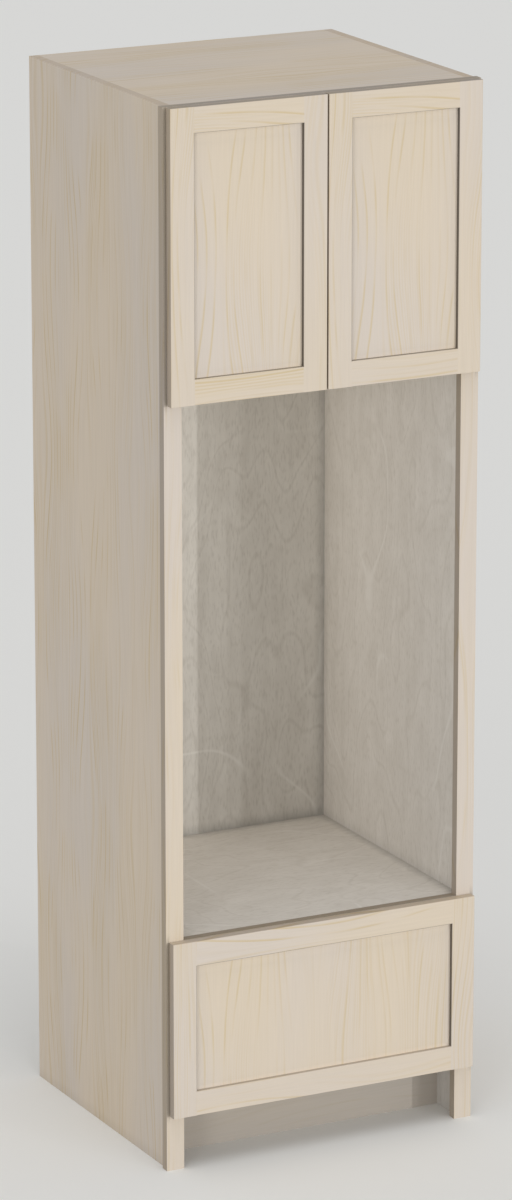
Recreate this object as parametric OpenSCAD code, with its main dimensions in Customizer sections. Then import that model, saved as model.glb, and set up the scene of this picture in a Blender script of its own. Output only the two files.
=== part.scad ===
// Tall oven housing unit: a face-frame cabinet with two doors, an open oven bay and one drawer.
// Millimetres. The origin is on the floor under the middle of the outer box, +Z is up,
// and the doors face -Y.

/* [Cabinet] */
// Width over the face frame
cabinet_w = 685.8; // [640:0.1:800]
// Height from the floor to the top
cabinet_h = 2133.6; // [2050:0.1:2400]
// Depth from the wall to the front of the face frame
cabinet_d = 609.6; // [600:0.1:680]
// Thickness of the sides, decks, shelf and toe board
board_t = 19.05; // [18:0.05:20]
// Thickness of the back panel
back_t = 12.7; // [9:0.1:16]
// Depth of the housings in the sides that hold the decks
housing_d = 6.35; // [4:0.05:8]
// Thickness of the tongue on a deck's end, which fills its housing
tongue_t = 12.7; // [9:0.05:15]
// Height of the toe space
toe_h = 114.3; // [90:0.1:130]
// How far the toe board stands behind the front of the face frame
toe_setback = 95.25; // [60:0.05:120]
// Height of the oven deck's top face
oven_deck_z = 476.25; // [470:0.05:500]
// Height of the doors' lower edge
door_bottom_z = 1555.75; // [1450:0.05:1600]

/* [Face frame] */
// Width of a frame stile
stile_w = 38.1; // [38:0.1:44]
// Height of a frame rail
rail_h = 38.1; // [36:0.1:42]
// Thickness of the face frame
frame_t = 19.05; // [18:0.05:21]
// How far each stile stands out past its side panel
frame_overhang = 6.35; // [3:0.05:9]
// Diameter of the joint dowels
dowel_d = 8; // [6:0.5:9]
// Length of a joint dowel
dowel_l = 34; // [24:1:36]
// Distance between the two dowels of a rail end
dowel_pitch = 18; // [14:0.5:20]
// Number of dowels along each end of the top panel
top_dowel_n = 4; // [2:1:8]

/* [Doors and drawer front] */
// Thickness of the doors and the drawer front
front_t = 18; // [18:0.1:20]
// Gap that the bumpers keep between the fronts and the frame
front_gap = 1.5; // [1.5:0.1:2.5]
// Strip of face frame left showing beside the fronts
reveal = 6.35; // [5:0.05:8]
// Gap between the two doors
door_gap = 3.2; // [2:0.1:5]
// Width of the stiles and rails of a front
member_w = 50.8; // [50:0.1:64]
// Depth from a front's face to its panel
panel_recess = 8; // [7:0.1:8.5]
// Thickness of a door panel, and of the drawer panel's tongue
panel_t = 6.35; // [5:0.05:7]
// Depth of the panel groove
groove_d = 10; // [8:0.1:11]
// Room left for the panel to swell in its groove
panel_play = 1; // [0.5:0.1:2]
// Radius on the outer edges of the fronts
edge_r = 1; // [0.5:0.1:2]
// Radius on the back edge of the hinge stiles, which turns past the frame
hinge_edge_r = 3; // [3:0.1:4]
// Diameter of a bumper
bumper_d = 9; // [6:0.5:12]
// Distance from a front's edges to its bumpers
bumper_inset = 15; // [10:0.5:20]

/* [Hinges] */
// Diameter of the hinge cup
cup_d = 35; // [35:0.5:36]
// Depth of the hinge cup
cup_depth = 13.5; // [13:0.1:14]
// Wood left between the cup and the door's edge
cup_edge = 3; // [3:0.1:4]
// Thickness of the cup's wall, floor and wings
cup_t = 1; // [0.8:0.1:1.1]
// Pivot's distance from the door's edge
pivot_in = 7; // [7:0.1:7.6]
// Pivot's depth below the door's back
pivot_depth = 9.5; // [9.3:0.1:9.6]
// Diameter of the hinge pin
pin_d = 2.4; // [2:0.1:2.6]
// Thickness of the hinge arm and its plate
arm_t = 2; // [1.6:0.1:2.2]
// Width of the hinge arm inside the cup
arm_w = 9; // [8:0.1:9.4]
// Height of the plate on the frame
plate_h = 48; // [40:1:60]
// Distance from the end of a door to the middle of its hinge
hinge_inset = 95; // [90:1:150]
// Length of the wings on the cup
wing_l = 60; // [56:1:66]
// Width of the wings on the cup
wing_w = 15; // [12:0.5:18]
// Distance between the two cup screws
cup_screw_pitch = 48; // [46:0.5:50]

/* [Shelf] */
// Distance from the cupboard's floor to the lowest pin hole
pin_hole_first = 132; // [100:1:160]
// Distance between pin holes
pin_hole_pitch = 32; // [25:1:40]
// Number of holes in each row
pin_hole_n = 9; // [5:1:9]
// Number of the hole that holds the shelf, where the lowest is 0
shelf_hole_n = 4; // [0:1:4]
// Diameter of a pin hole
pin_hole_d = 5; // [4:0.1:6]
// Depth of a pin hole
pin_hole_depth = 10; // [8:0.5:12]
// Distance from the hole rows to the frame and to the back panel
pin_hole_inset = 50; // [30:1:90]
// Gap between the shelf and each side panel
shelf_play = 1.5; // [1:0.1:3]
// Gap between the shelf and the face frame
shelf_setback = 12; // [5:1:30]

/* [Drawer] */
// Height of the drawer box
drawer_h = 241.3; // [200:0.1:243]
// Thickness of the drawer's sides, front and back
drawer_t = 15.9; // [12:0.1:18]
// Thickness of the drawer's bottom
bottom_t = 6.35; // [5:0.05:9]
// Height of the bottom panel above the box's lower edge
bottom_up = 12; // [9:0.1:16]
// Depth of the grooves that hold the bottom panel
bottom_groove_d = 7; // [5:0.1:8]
// Gap under the drawer box
drawer_lift = 12.7; // [9:0.1:13]
// Number of dovetails at each corner
tail_n = 6; // [3:1:8]
// Share of the joint's pitch that the wide end of a tail takes
tail_share = 0.72; // [0.66:0.01:0.76]
// Rise of a tail's slope for each millimetre along it
tail_slope = 0.14; // [0.1:0.01:0.17]

/* [Runners] */
// Length of the runners and of the drawer box, and the drawer's travel
runner_l = 533.4; // [500:0.1:545]
// Height of the cabinet member
runner_h = 45.7; // [45:0.1:52]
// Room that a runner takes between the drawer and the frame
runner_t = 12.7; // [12.7:0.1:13.5]
// Thickness of the runner's sheet steel
steel_t = 1.2; // [1:0.1:1.3]
// Space between two members for the balls
race = 5; // [4.9:0.1:5.3]
// Diameter of a ball
ball_d = 4.5; // [4:0.1:4.7]
// Number of balls in each row
ball_n = 6; // [3:1:10]
// Distance from the drawer's lower edge to the runner's middle
runner_up = 76; // [70:1:120]
// Distance from the front of the face frame to the runner
runner_setback = 3; // [2:0.1:6]
// Height of the block behind each runner
block_h = 63.5; // [60:0.5:80]
// Height of the cleats under the oven deck
cleat_h = 38.1; // [20:0.1:38.1]

/* [Screws] */
// Diameter of a wood screw
screw_d = 3.5; // [3:0.1:4]
// Diameter of a screw head
screw_head_d = 6.4; // [5.5:0.1:7]
// Length of a screw in the wood
screw_l = 10; // [8:0.5:11]

/* [Hidden] */

$fn = 48;
cut = 1;               // how far a cutting shape runs past the face that it opens
fit = 0.05;            // clearance around pins, dowels and screws
LEFT = -1;
RIGHT = 1;

// Planes of the cabinet, front to back
front_proud = front_t + front_gap;
y_frame = -(cabinet_d - front_proud) / 2;    // front of the face frame
y_front = y_frame - front_proud;             // face of the doors and drawer front
y_front_back = y_frame - front_gap;          // their backs
y_box = y_frame + frame_t;                   // front edges of the boards
y_wall = y_frame + cabinet_d;                // back of the cabinet
y_back = y_wall - back_t;                    // front face of the back panel

// Planes from the middle outwards
x_frame = cabinet_w / 2;                     // outer edge of a stile
x_open = x_frame - stile_w;                  // edge of the frame's opening
x_side = x_frame - frame_overhang;           // outer face of a side panel
x_in = x_side - board_t;                     // inner face of a side panel
x_front = x_frame - reveal;                  // outer edge of a door

// Heights
floor_z = toe_h + rail_h;                    // top of the cabinet floor
upper_deck_z = door_bottom_z + rail_h;       // top of the cupboard's floor
ceiling_z = cabinet_h - board_t;             // underside of the top panel
door_h = cabinet_h - door_bottom_z;
drawer_front_h = oven_deck_z - toe_h;
door_w = x_front - door_gap / 2;

// Shelf
pin_rows = [y_box + pin_hole_inset, y_back - pin_hole_inset];
shelf_pin_z = upper_deck_z + pin_hole_first + shelf_hole_n * pin_hole_pitch;
peg_lip = 7;                                 // how far a pin's rest stands out of the side
peg_t = 3;                                   // height of that rest
peg_rim = 2;                                 // how far it stands out past the pin on each hand
peg_end_gap = 1;                             // between a pin's end and the end of its hole
shelf_z = shelf_pin_z + pin_hole_d / 2;

// Drawer box
x_drawer = x_open - runner_t;                // outer face of a drawer side
drawer_z = floor_z + drawer_lift;
drawer_y1 = y_front_back + runner_l;
tail_pitch = drawer_h / tail_n;
groove_end = drawer_t - bottom_groove_d;     // wood left outside the bottom's groove
front_screw_share_x = 0.6;                   // places of the front's screws, as shares of the box
front_screw_share_low = 0.25;
front_screw_share_high = 0.75;
front_screw_head_d = 9;
front_screw_head_t = 2;
front_screw_bite = 7;                        // how far they reach into the front's panel

// Runners: each member's height follows from the one around it
runner_z = drawer_z + runner_up;
runner_y0 = y_frame + runner_setback;
middle_h = runner_h - 2 * steel_t - 2 * race;
inner_h = middle_h - 2 * steel_t - 2 * race;
lip = 1.4;                                   // the edge of a member that keeps the balls in
slack = 1;                                   // between the webs of two members
cabinet_lip_gap = 2.1;                       // from the cabinet member's lips to the drawer
middle_lip_gap = 1.9;                        // from the middle member's lips to the drawer
drawer_lip_gap = 0.3;                        // from the drawer member's lips to the middle web
cabinet_member_w = runner_t - cabinet_lip_gap;
middle_x = steel_t + slack;                  // web of the middle member, from the frame's edge
middle_w = runner_t - middle_x - middle_lip_gap;
inner_w = runner_t - middle_x - steel_t - drawer_lip_gap;
bend_r = 2;
row_outer = runner_h / 2 - steel_t - race / 2;
row_inner = middle_h / 2 - steel_t - race / 2;
cage_t = 0.8;
cage_w = 5.4;
cage_share = 0.46;                           // fits where two drawn-out members still overlap
cage_l = runner_l * cage_share;
cage_setback = 5;                            // from the end of its quarter travel
cage_y0 = runner_y0 + runner_l / 4 + cage_setback;
runner_screw_shares = [0.06, 0.5, 0.92];     // places along a runner, as shares of its length
member_head_t = 0.75;

// Hinges, measured from the door's edge and its back
cup_r = cup_d / 2;
cup_mid = cup_edge + cup_r;
plate_u = stile_w - reveal;                  // the frame's opening, seen from the door's edge
eye_wall = 1;                                // steel around the pin
eye_r = pin_d / 2 + eye_wall;
head_h = (screw_head_d - screw_d) / 2;
plate_margin = 1;                            // between the plate and the frame's two faces
plate_corner_r = 3;
wing_corner_r = 4;
plate_screw_inset = 7;                       // from a plate's end to its screw
plate_screw_z = plate_h / 2 - plate_screw_inset;
hinge_heights = [door_bottom_z + hinge_inset, cabinet_h - hinge_inset];

MAPLE = [0.84, 0.79, 0.72];
MAPLE_SIDE = [0.73, 0.68, 0.61];
MAPLE_INSIDE = [0.68, 0.64, 0.58];
BIRCH = [0.80, 0.70, 0.55];
STEEL = [0.70, 0.71, 0.72];
NICKEL = [0.78, 0.77, 0.74];
BUMPER = [0.85, 0.86, 0.86];

// ---- Shared shapes ----

// A box between two corners
module block(low, high) {
  translate(low) cube(high - low);
}

// Mirrors a right-hand shape for the left side
module on_side(side) {
  if (side == LEFT) mirror([1, 0, 0]) children();
  else children();
}

// A rod along +X from its origin
module rod_x(d, l) {
  rotate([0, 90, 0]) cylinder(d = d, h = l);
}

// A rod along +Y from its origin
module rod_y(d, l) {
  rotate([-90, 0, 0]) cylinder(d = d, h = l);
}

// A rectangle with round corners, from its lower left corner
module round_rect(size, r) {
  translate([r, 0]) square([size[0] - 2 * r, size[1]]);
  translate([0, r]) square([size[0], size[1] - 2 * r]);
  for (x = [r, size[0] - r])
    for (y = [r, size[1] - r])
      translate([x, y]) circle(r);
}

// What a rounding takes off a square corner at the origin
module corner_cut(r) {
  difference() {
    translate([-cut, -cut]) square(r + cut);
    translate([r, r]) circle(r);
  }
}

// A screw along +Y with its countersunk head at the origin
module flat_screw(d, head_d, l) {
  rotate([-90, 0, 0]) {
    cylinder(d1 = head_d, d2 = d, h = head_h);
    cylinder(d = d, h = l);
  }
}

// A screw along +X with a flat round head that starts at the origin
module pan_screw(d, head_d, head_t, l) {
  rod_x(head_d, head_t);
  rod_x(d, head_t + l);
}

// ---- Carcass ----

// Places of the top panel's dowels, front to back
function top_dowel_y(i) = y_box + (y_wall - y_box) * (i + 0.5) / top_dowel_n;

module deck_housing(top_z) {
  z = top_z - board_t;
  block([x_in, y_box - cut, z], [x_in + housing_d, y_back, z + tongue_t]);
}

module side_panel(side) {
  color(MAPLE_SIDE) on_side(side) difference() {
    block([x_in, y_box, 0], [x_side, y_wall, cabinet_h]);
    for (z = [floor_z, oven_deck_z, upper_deck_z])
      deck_housing(z);
    for (y = pin_rows)
      for (i = [0 : pin_hole_n - 1])
        translate([x_in - cut, y, upper_deck_z + pin_hole_first + i * pin_hole_pitch])
          rod_x(pin_hole_d, pin_hole_depth + cut);
    top_dowels(dowel_d + 2 * fit, dowel_l + 2 * fit);
  }
}

// A deck with a tongue along each end, in the housings of both sides
module deck(top_z) {
  z = top_z - board_t;
  x_tongue = x_in + housing_d;
  block([-x_in, y_box, z], [x_in, y_back, top_z]);
  block([-x_tongue, y_box, z], [x_tongue, y_back, z + tongue_t]);
}

// The right-hand dowels between the top panel and a side
module top_dowels(d, l) {
  for (i = [0 : top_dowel_n - 1])
    translate([x_in + board_t / 2 - l + fit, top_dowel_y(i), cabinet_h - board_t / 2])
      rod_x(d, l);
}

module top_panel() {
  color(MAPLE_SIDE) difference() {
    block([-x_in, y_box, ceiling_z], [x_in, y_wall, cabinet_h]);
    for (side = [LEFT, RIGHT])
      on_side(side) top_dowels(dowel_d + 2 * fit, dowel_l + 2 * fit);
  }
}

module back_panel() {
  color(MAPLE_INSIDE) block([-x_in, y_back, floor_z - board_t], [x_in, y_wall, ceiling_z]);
}

module toe_board() {
  y = y_frame + toe_setback;
  color(MAPLE_SIDE) block([-x_in, y, 0], [x_in, y + board_t, floor_z - board_t]);
}

module rear_base_rail() {
  color(MAPLE_SIDE) block([-x_in, y_wall - board_t, 0], [x_in, y_wall, floor_z - board_t]);
}

// The cleats are glued to the sides and carry the oven deck
module deck_cleats() {
  z = oven_deck_z - board_t;
  color(BIRCH) for (side = [LEFT, RIGHT])
    on_side(side) block([x_in - board_t, y_box, z - cleat_h], [x_in, y_back, z]);
}

// Packs the runner out to the edge of the frame's opening
module runner_block(side) {
  color(BIRCH) on_side(side) difference() {
    block([x_open, y_box, runner_z - block_h / 2], [x_in, y_back, runner_z + block_h / 2]);
    block_screw_set(2 * fit);
  }
}

module cupboard_shelf() {
  x = x_in - shelf_play;
  color(MAPLE_INSIDE)
    block([-x, y_box + shelf_setback, shelf_z], [x, y_back, shelf_z + board_t]);
}

// A peg in its hole, with a half-round rest under the shelf
module shelf_pin() {
  rest_w = pin_hole_d + 2 * peg_rim;
  translate([-fit, 0, 0]) rod_x(pin_hole_d - 2 * fit, pin_hole_depth - peg_end_gap);
  translate([-peg_lip, 0, shelf_z - shelf_pin_z - peg_t]) linear_extrude(peg_t) difference() {
    union() {
      translate([rest_w / 2, 0]) circle(d = rest_w);
      translate([rest_w / 2, -rest_w / 2]) square([peg_lip - rest_w / 2 + fit, rest_w]);
    }
    translate([peg_lip, -rest_w]) square(2 * rest_w);
  }
}

module shelf_pins() {
  color(STEEL) for (side = [LEFT, RIGHT])
    on_side(side) for (y = pin_rows)
      translate([x_in, y, shelf_pin_z]) shelf_pin();
}

// ---- Face frame ----

// The dowels of one rail's right-hand end
module rail_dowels(low_z, d, l) {
  for (k = [-1, 1])
    translate([x_open - l / 2, y_frame + frame_t / 2, low_z + rail_h / 2 + k * dowel_pitch / 2])
      rod_x(d, l);
}

rail_heights = [toe_h, oven_deck_z - rail_h, door_bottom_z, cabinet_h - rail_h];

module frame_stile(side) {
  color(MAPLE) on_side(side) difference() {
    block([x_open, y_frame, 0], [x_frame, y_box, cabinet_h]);
    for (z = rail_heights)
      rail_dowels(z, dowel_d + 2 * fit, dowel_l + 2 * fit);
    at_hinges() plate_screws(2 * fit);
  }
}

module frame_rail(low_z) {
  color(MAPLE) difference() {
    block([-x_open, y_frame, low_z], [x_open, y_box, low_z + rail_h]);
    for (side = [LEFT, RIGHT])
      on_side(side) rail_dowels(low_z, dowel_d + 2 * fit, dowel_l + 2 * fit);
  }
}

module joint_dowels() {
  color(BIRCH) for (side = [LEFT, RIGHT])
    on_side(side) {
      for (z = rail_heights)
        rail_dowels(z, dowel_d, dowel_l);
      top_dowels(dowel_d, dowel_l);
    }
}

// ---- Framed fronts ----

// Section of a stile or rail: outer edge at x = 0, face at y = 0, groove in the inner edge
module member_section(back_r) {
  difference() {
    square([member_w, front_t]);
    translate([member_w - groove_d, panel_recess]) square([groove_d + cut, panel_t]);
    corner_cut(edge_r);
    translate([0, front_t]) mirror([0, 1]) corner_cut(back_r);
  }
}

// A stile standing on its end, outer edge at x = 0
module front_stile(h, back_r) {
  linear_extrude(h) member_section(back_r);
}

// A rail lying along +X, outer edge down, with a tongue at each end for the stiles' grooves
module front_rail(l) {
  multmatrix([[0, 0, 1, 0], [0, 1, 0, 0], [1, 0, 0, 0], [0, 0, 0, 1]]) {
    linear_extrude(l) member_section(edge_r);
    for (z = [-groove_d, l])
      translate([0, panel_recess, z]) cube([member_w - groove_d, panel_t, groove_d]);
  }
}

// A flat panel for an opening of w by h, lower left corner of the opening at the origin
module front_panel(w, h) {
  reach = groove_d - panel_play;
  translate([-reach, panel_recess, -reach]) cube([w + 2 * reach, panel_t, h + 2 * reach]);
}

// ---- Hinges ----

// Local frame of a right-hand hinge: x into the door from its edge, y into it from its back
module at_hinges() {
  for (z = hinge_heights)
    translate([x_front, y_front_back, z]) rotate([0, 0, 180]) children();
}

// Outline of the cup's rim and wings, seen from the door's back
module wing_outline(grow) {
  circle(cup_r - fit + grow);
  translate([-wing_w / 2 - grow, -wing_l / 2 - grow])
    round_rect([wing_w + 2 * grow, wing_l + 2 * grow], wing_corner_r);
}

module cup_pocket() {
  translate([cup_mid, -cut, 0]) rod_y(cup_d, cup_depth + cut);
  translate([cup_mid, cup_t, 0]) rotate([90, 0, 0]) linear_extrude(cup_t + cut) wing_outline(fit);
  cup_screw_pair(2 * fit);
}

module cup_screw_pair(grow) {
  for (k = [-1, 1])
    translate([cup_mid, 0, k * cup_screw_pitch / 2])
      flat_screw(screw_d + grow, screw_head_d + grow, screw_l + grow);
}

module hinge_cup() {
  difference() {
    translate([cup_mid, 0, 0]) {
      rod_y(cup_d - 2 * fit, cup_depth);
      translate([0, cup_t, 0]) rotate([90, 0, 0]) linear_extrude(cup_t) wing_outline(0);
    }
    translate([cup_mid, -cut, 0]) rod_y(cup_d - 2 * fit - 2 * cup_t, cup_depth - cup_t + cut);
    cup_screw_pair(2 * fit);
    hinge_pin(2 * fit);
  }
}

// The pin crosses the cup and ends in its walls, just short of their outside
module hinge_pin(grow) {
  reach = sqrt(pow(cup_r - fit, 2) - pow(cup_mid - pivot_in + pin_d / 2, 2)) - fit;
  translate([pivot_in, pivot_depth, -reach - grow])
    cylinder(d = pin_d + grow, h = 2 * (reach + grow));
}

// The arm runs from the pin over the cup's floor, out of its mouth and along the frame's edge
module hinge_arm() {
  mid = arm_w / 2;
  plate_y0 = -front_gap - frame_t + plate_margin;
  plate_y1 = -front_gap - plate_margin;
  difference() {
    union() {
      translate([pivot_in, pivot_depth, -mid]) cylinder(r = eye_r, h = arm_w);
      block([pivot_in, pivot_depth, -mid], [plate_u + arm_t, pivot_depth + arm_t, mid]);
      block([plate_u, plate_y1 - arm_t, -mid], [plate_u + arm_t, pivot_depth + arm_t, mid]);
      translate([plate_u, plate_y0, -plate_h / 2]) rotate([90, 0, 90])
        linear_extrude(arm_t) round_rect([plate_y1 - plate_y0, plate_h], plate_corner_r);
    }
    translate([pivot_in, pivot_depth, -mid - cut]) cylinder(d = pin_d + 2 * fit, h = arm_w + 2 * cut);
    plate_screws(2 * fit);
  }
}

// Two screws through the plate into the edge of the frame's stile
module plate_screws(grow) {
  for (k = [-1, 1])
    translate([plate_u + arm_t, -front_gap - frame_t / 2, k * plate_screw_z])
      rotate([0, 0, 90]) flat_screw(screw_d + grow, screw_head_d + grow, screw_l + grow);
}

module hinge_arms() {
  color(NICKEL) for (side = [LEFT, RIGHT])
    on_side(side) at_hinges() hinge_arm();
}

module hinge_plate_screws() {
  color(STEEL) for (side = [LEFT, RIGHT])
    on_side(side) at_hinges() plate_screws(0);
}

// ---- Doors, drawn for the right side ----

module door_hinge_stile(side) {
  color(MAPLE) on_side(side) difference() {
    translate([x_front, y_front, door_bottom_z]) mirror([1, 0, 0])
      front_stile(door_h, hinge_edge_r);
    at_hinges() cup_pocket();
  }
}

module door_lock_stile(side) {
  color(MAPLE) on_side(side)
    translate([door_gap / 2, y_front, door_bottom_z]) front_stile(door_h, edge_r);
}

// A front's rails, for an outer edge at x0 and a width of w between its outer edges
module top_rail(x0, w, top_z) {
  translate([x0 + member_w, y_front, top_z]) mirror([0, 0, 1]) front_rail(w - 2 * member_w);
}

module bottom_rail(x0, w, low_z) {
  translate([x0 + member_w, y_front, low_z]) front_rail(w - 2 * member_w);
}

module door_panel(side) {
  color(MAPLE) on_side(side)
    translate([door_gap / 2 + member_w, y_front, door_bottom_z + member_w])
      front_panel(door_w - 2 * member_w, door_h - 2 * member_w);
}

// The cups, with their pins as solids of their own
module door_cups(side) {
  color(NICKEL) on_side(side) at_hinges() {
    hinge_cup();
    hinge_pin(0);
  }
}

module door_cup_screws(side) {
  color(STEEL) on_side(side) at_hinges() cup_screw_pair(0);
}

module bumper(x, z) {
  translate([x, y_front_back, z]) rod_y(bumper_d, front_gap);
}

module door_bumpers(side) {
  color(BUMPER) on_side(side) for (z = [door_bottom_z + bumper_inset, cabinet_h - bumper_inset])
    bumper(door_gap / 2 + bumper_inset, z);
}

// ---- Drawer front ----

module drawer_front_stile(side) {
  color(MAPLE) on_side(side)
    translate([x_front, y_front, toe_h]) mirror([1, 0, 0]) front_stile(drawer_front_h, edge_r);
}

// The panel's field is thicker than its tongue, so that its back lies flush for the drawer box
module drawer_front_panel() {
  w = 2 * (x_front - member_w);
  h = drawer_front_h - 2 * member_w;
  color(MAPLE) difference() {
    translate([-w / 2, y_front, toe_h + member_w]) {
      front_panel(w, h);
      translate([panel_play, panel_recess, panel_play])
        cube([w - 2 * panel_play, front_t - panel_recess, h - 2 * panel_play]);
    }
    front_screw_set(2 * fit);
  }
}

module drawer_bumpers() {
  color(BUMPER) for (side = [LEFT, RIGHT])
    on_side(side) for (z = [toe_h + bumper_inset, oven_deck_z - bumper_inset])
      bumper(x_front - bumper_inset, z);
}

// ---- Drawer box ----

// The tails of one corner, in (y, z) with the end of the side at y = 0
module tail_outline() {
  wide = tail_pitch * tail_share / 2;
  narrow = wide - drawer_t * tail_slope;
  for (i = [0 : tail_n - 1])
    translate([0, (i + 0.5) * tail_pitch])
      polygon([[0, -wide], [drawer_t, -narrow], [drawer_t, narrow], [0, wide]]);
}

// The tails as solids through the thickness of the right-hand side, at both of its ends
module corner_tails() {
  for (k = [0, 1])
    translate([x_drawer - drawer_t, k == 0 ? y_front_back : drawer_y1, drawer_z])
      mirror([0, k, 0]) rotate([90, 0, 90]) linear_extrude(drawer_t) tail_outline();
}

// The bottom panel with its edges in the grooves
module bottom_solid() {
  x = x_drawer - groove_end;
  block([-x, y_front_back + groove_end, drawer_z + bottom_up],
        [x, drawer_y1 - groove_end, drawer_z + bottom_up + bottom_t]);
}

module drawer_side(side) {
  color(MAPLE_INSIDE) on_side(side) difference() {
    union() {
      block([x_drawer - drawer_t, y_front_back + drawer_t, drawer_z],
            [x_drawer, drawer_y1 - drawer_t, drawer_z + drawer_h]);
      corner_tails();
    }
    bottom_solid();
    drawer_screw_set(2 * fit);
  }
}

// The front or back of the box: its pins are what the tails of both sides leave
module pin_board(y0) {
  difference() {
    block([-x_drawer, y0, drawer_z], [x_drawer, y0 + drawer_t, drawer_z + drawer_h]);
    for (side = [LEFT, RIGHT])
      on_side(side) corner_tails();
    bottom_solid();
  }
}

module drawer_box_front() {
  color(MAPLE_INSIDE) difference() {
    pin_board(y_front_back);
    front_screw_set(2 * fit);
  }
}

module drawer_box_back() {
  color(MAPLE_INSIDE) pin_board(drawer_y1 - drawer_t);
}

// Screws from inside the box into the panel of the drawer front
module front_screw_set(grow) {
  for (sx = [-front_screw_share_x, front_screw_share_x])
    for (sz = [front_screw_share_low, front_screw_share_high])
      translate([sx * x_drawer, y_front_back + drawer_t + front_screw_head_t, drawer_z + sz * drawer_h])
        rotate([0, 0, -90])
          pan_screw(screw_d + grow, front_screw_head_d, front_screw_head_t,
                    drawer_t + front_screw_bite + grow);
}

module drawer_screws() {
  color(STEEL) {
    front_screw_set(0);
    for (side = [LEFT, RIGHT])
      on_side(side) drawer_screw_set(0);
  }
}

// ---- Runners, drawn for the right side ----

// Sheet bent to a channel: web at x = 0, open side kept by two lips
module channel_section(w, h) {
  difference() {
    translate([0, -h / 2]) round_rect([w, h], bend_r);
    translate([steel_t, steel_t - h / 2])
      round_rect([w - 2 * steel_t, h - 2 * steel_t], bend_r - steel_t);
    translate([w - 2 * steel_t, steel_t + lip - h / 2]) square([3 * steel_t, h - 2 * (steel_t + lip)]);
  }
}

// Runs a section along the runner, with x measured from the frame's edge towards the drawer
module along_runner(y0, l) {
  translate([x_open, y0 + l, runner_z]) rotate([90, 0, 0]) linear_extrude(l)
    mirror([1, 0]) children();
}

module runner_cabinet(side) {
  color(STEEL) on_side(side) difference() {
    along_runner(runner_y0, runner_l) channel_section(cabinet_member_w, runner_h);
    block_screw_set(2 * fit);
  }
}

module runner_middle(side) {
  color(STEEL) on_side(side) along_runner(runner_y0, runner_l)
    translate([middle_x, 0]) channel_section(middle_w, middle_h);
}

module runner_drawer(side) {
  color(STEEL) on_side(side) difference() {
    along_runner(runner_y0, runner_l)
      translate([runner_t, 0]) mirror([1, 0]) channel_section(inner_w, inner_h);
    drawer_screw_set(2 * fit);
  }
}

function runner_screw_y(s) = runner_y0 + runner_screw_shares[s] * runner_l;

// Screws through the cabinet member into the block behind it
module block_screw_set(grow) {
  for (s = [1 : 2])
    translate([x_open - steel_t - member_head_t, runner_screw_y(s), runner_z])
      pan_screw(screw_d + grow, screw_head_d, member_head_t, steel_t + screw_l + grow);
}

// Screws through the drawer member into the drawer's side
module drawer_screw_set(grow) {
  for (s = [0 : 2])
    translate([x_drawer + steel_t + front_screw_head_t, runner_screw_y(s), runner_z])
      rotate([0, 0, 180])
        pan_screw(screw_d + grow, screw_head_d, front_screw_head_t, steel_t + screw_l + grow);
}

module runner_block_screws() {
  color(STEEL) for (side = [LEFT, RIGHT])
    on_side(side) block_screw_set(0);
}

// A strip with its row of balls, at a height from the runner's middle
module cage_strip(row) {
  x = x_open - runner_t / 2;
  translate([x, cage_y0, runner_z + row]) {
    translate([-cage_w / 2, 0, -cage_t / 2]) cube([cage_w, cage_l, cage_t]);
    for (i = [0 : ball_n - 1])
      translate([0, cage_l * (i + 0.5) / ball_n, 0]) sphere(d = ball_d);
  }
}

module ball_cages(row) {
  color(NICKEL) for (side = [LEFT, RIGHT])
    on_side(side) for (k = [-1, 1])
      cage_strip(k * row);
}

// ---- Drawing ----

side_panel(LEFT);  // side_panel_left
side_panel(RIGHT);  // side_panel_right
top_panel();
color(MAPLE_INSIDE) deck(upper_deck_z);  // upper_deck
color(MAPLE_INSIDE) deck(oven_deck_z);  // oven_deck
color(MAPLE_INSIDE) deck(floor_z);  // cabinet_floor
back_panel();
toe_board();
rear_base_rail();
deck_cleats();
runner_block(LEFT);  // runner_block_left
runner_block(RIGHT);  // runner_block_right
cupboard_shelf();
shelf_pins();

frame_stile(LEFT);  // frame_stile_left
frame_stile(RIGHT);  // frame_stile_right
frame_rail(cabinet_h - rail_h);  // frame_rail_top
frame_rail(door_bottom_z);  // frame_rail_middle
frame_rail(oven_deck_z - rail_h);  // frame_rail_oven
frame_rail(toe_h);  // frame_rail_bottom
joint_dowels();
hinge_arms();
hinge_plate_screws();
runner_cabinet(LEFT);  // runner_cabinet_left
runner_cabinet(RIGHT);  // runner_cabinet_right
runner_block_screws();

door_hinge_stile(LEFT);  // door_left_hinge_stile
door_lock_stile(LEFT);  // door_left_lock_stile
color(MAPLE) on_side(LEFT) top_rail(door_gap / 2, door_w, cabinet_h);  // door_left_top_rail
color(MAPLE) on_side(LEFT) bottom_rail(door_gap / 2, door_w, door_bottom_z);  // door_left_bottom_rail
door_panel(LEFT);  // door_left_panel
door_cups(LEFT);  // door_left_cups
door_cup_screws(LEFT);  // door_left_cup_screws
door_bumpers(LEFT);  // door_left_bumpers

door_hinge_stile(RIGHT);  // door_right_hinge_stile
door_lock_stile(RIGHT);  // door_right_lock_stile
color(MAPLE) on_side(RIGHT) top_rail(door_gap / 2, door_w, cabinet_h);  // door_right_top_rail
color(MAPLE) on_side(RIGHT) bottom_rail(door_gap / 2, door_w, door_bottom_z);  // door_right_bottom_rail
door_panel(RIGHT);  // door_right_panel
door_cups(RIGHT);  // door_right_cups
door_cup_screws(RIGHT);  // door_right_cup_screws
door_bumpers(RIGHT);  // door_right_bumpers

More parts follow.
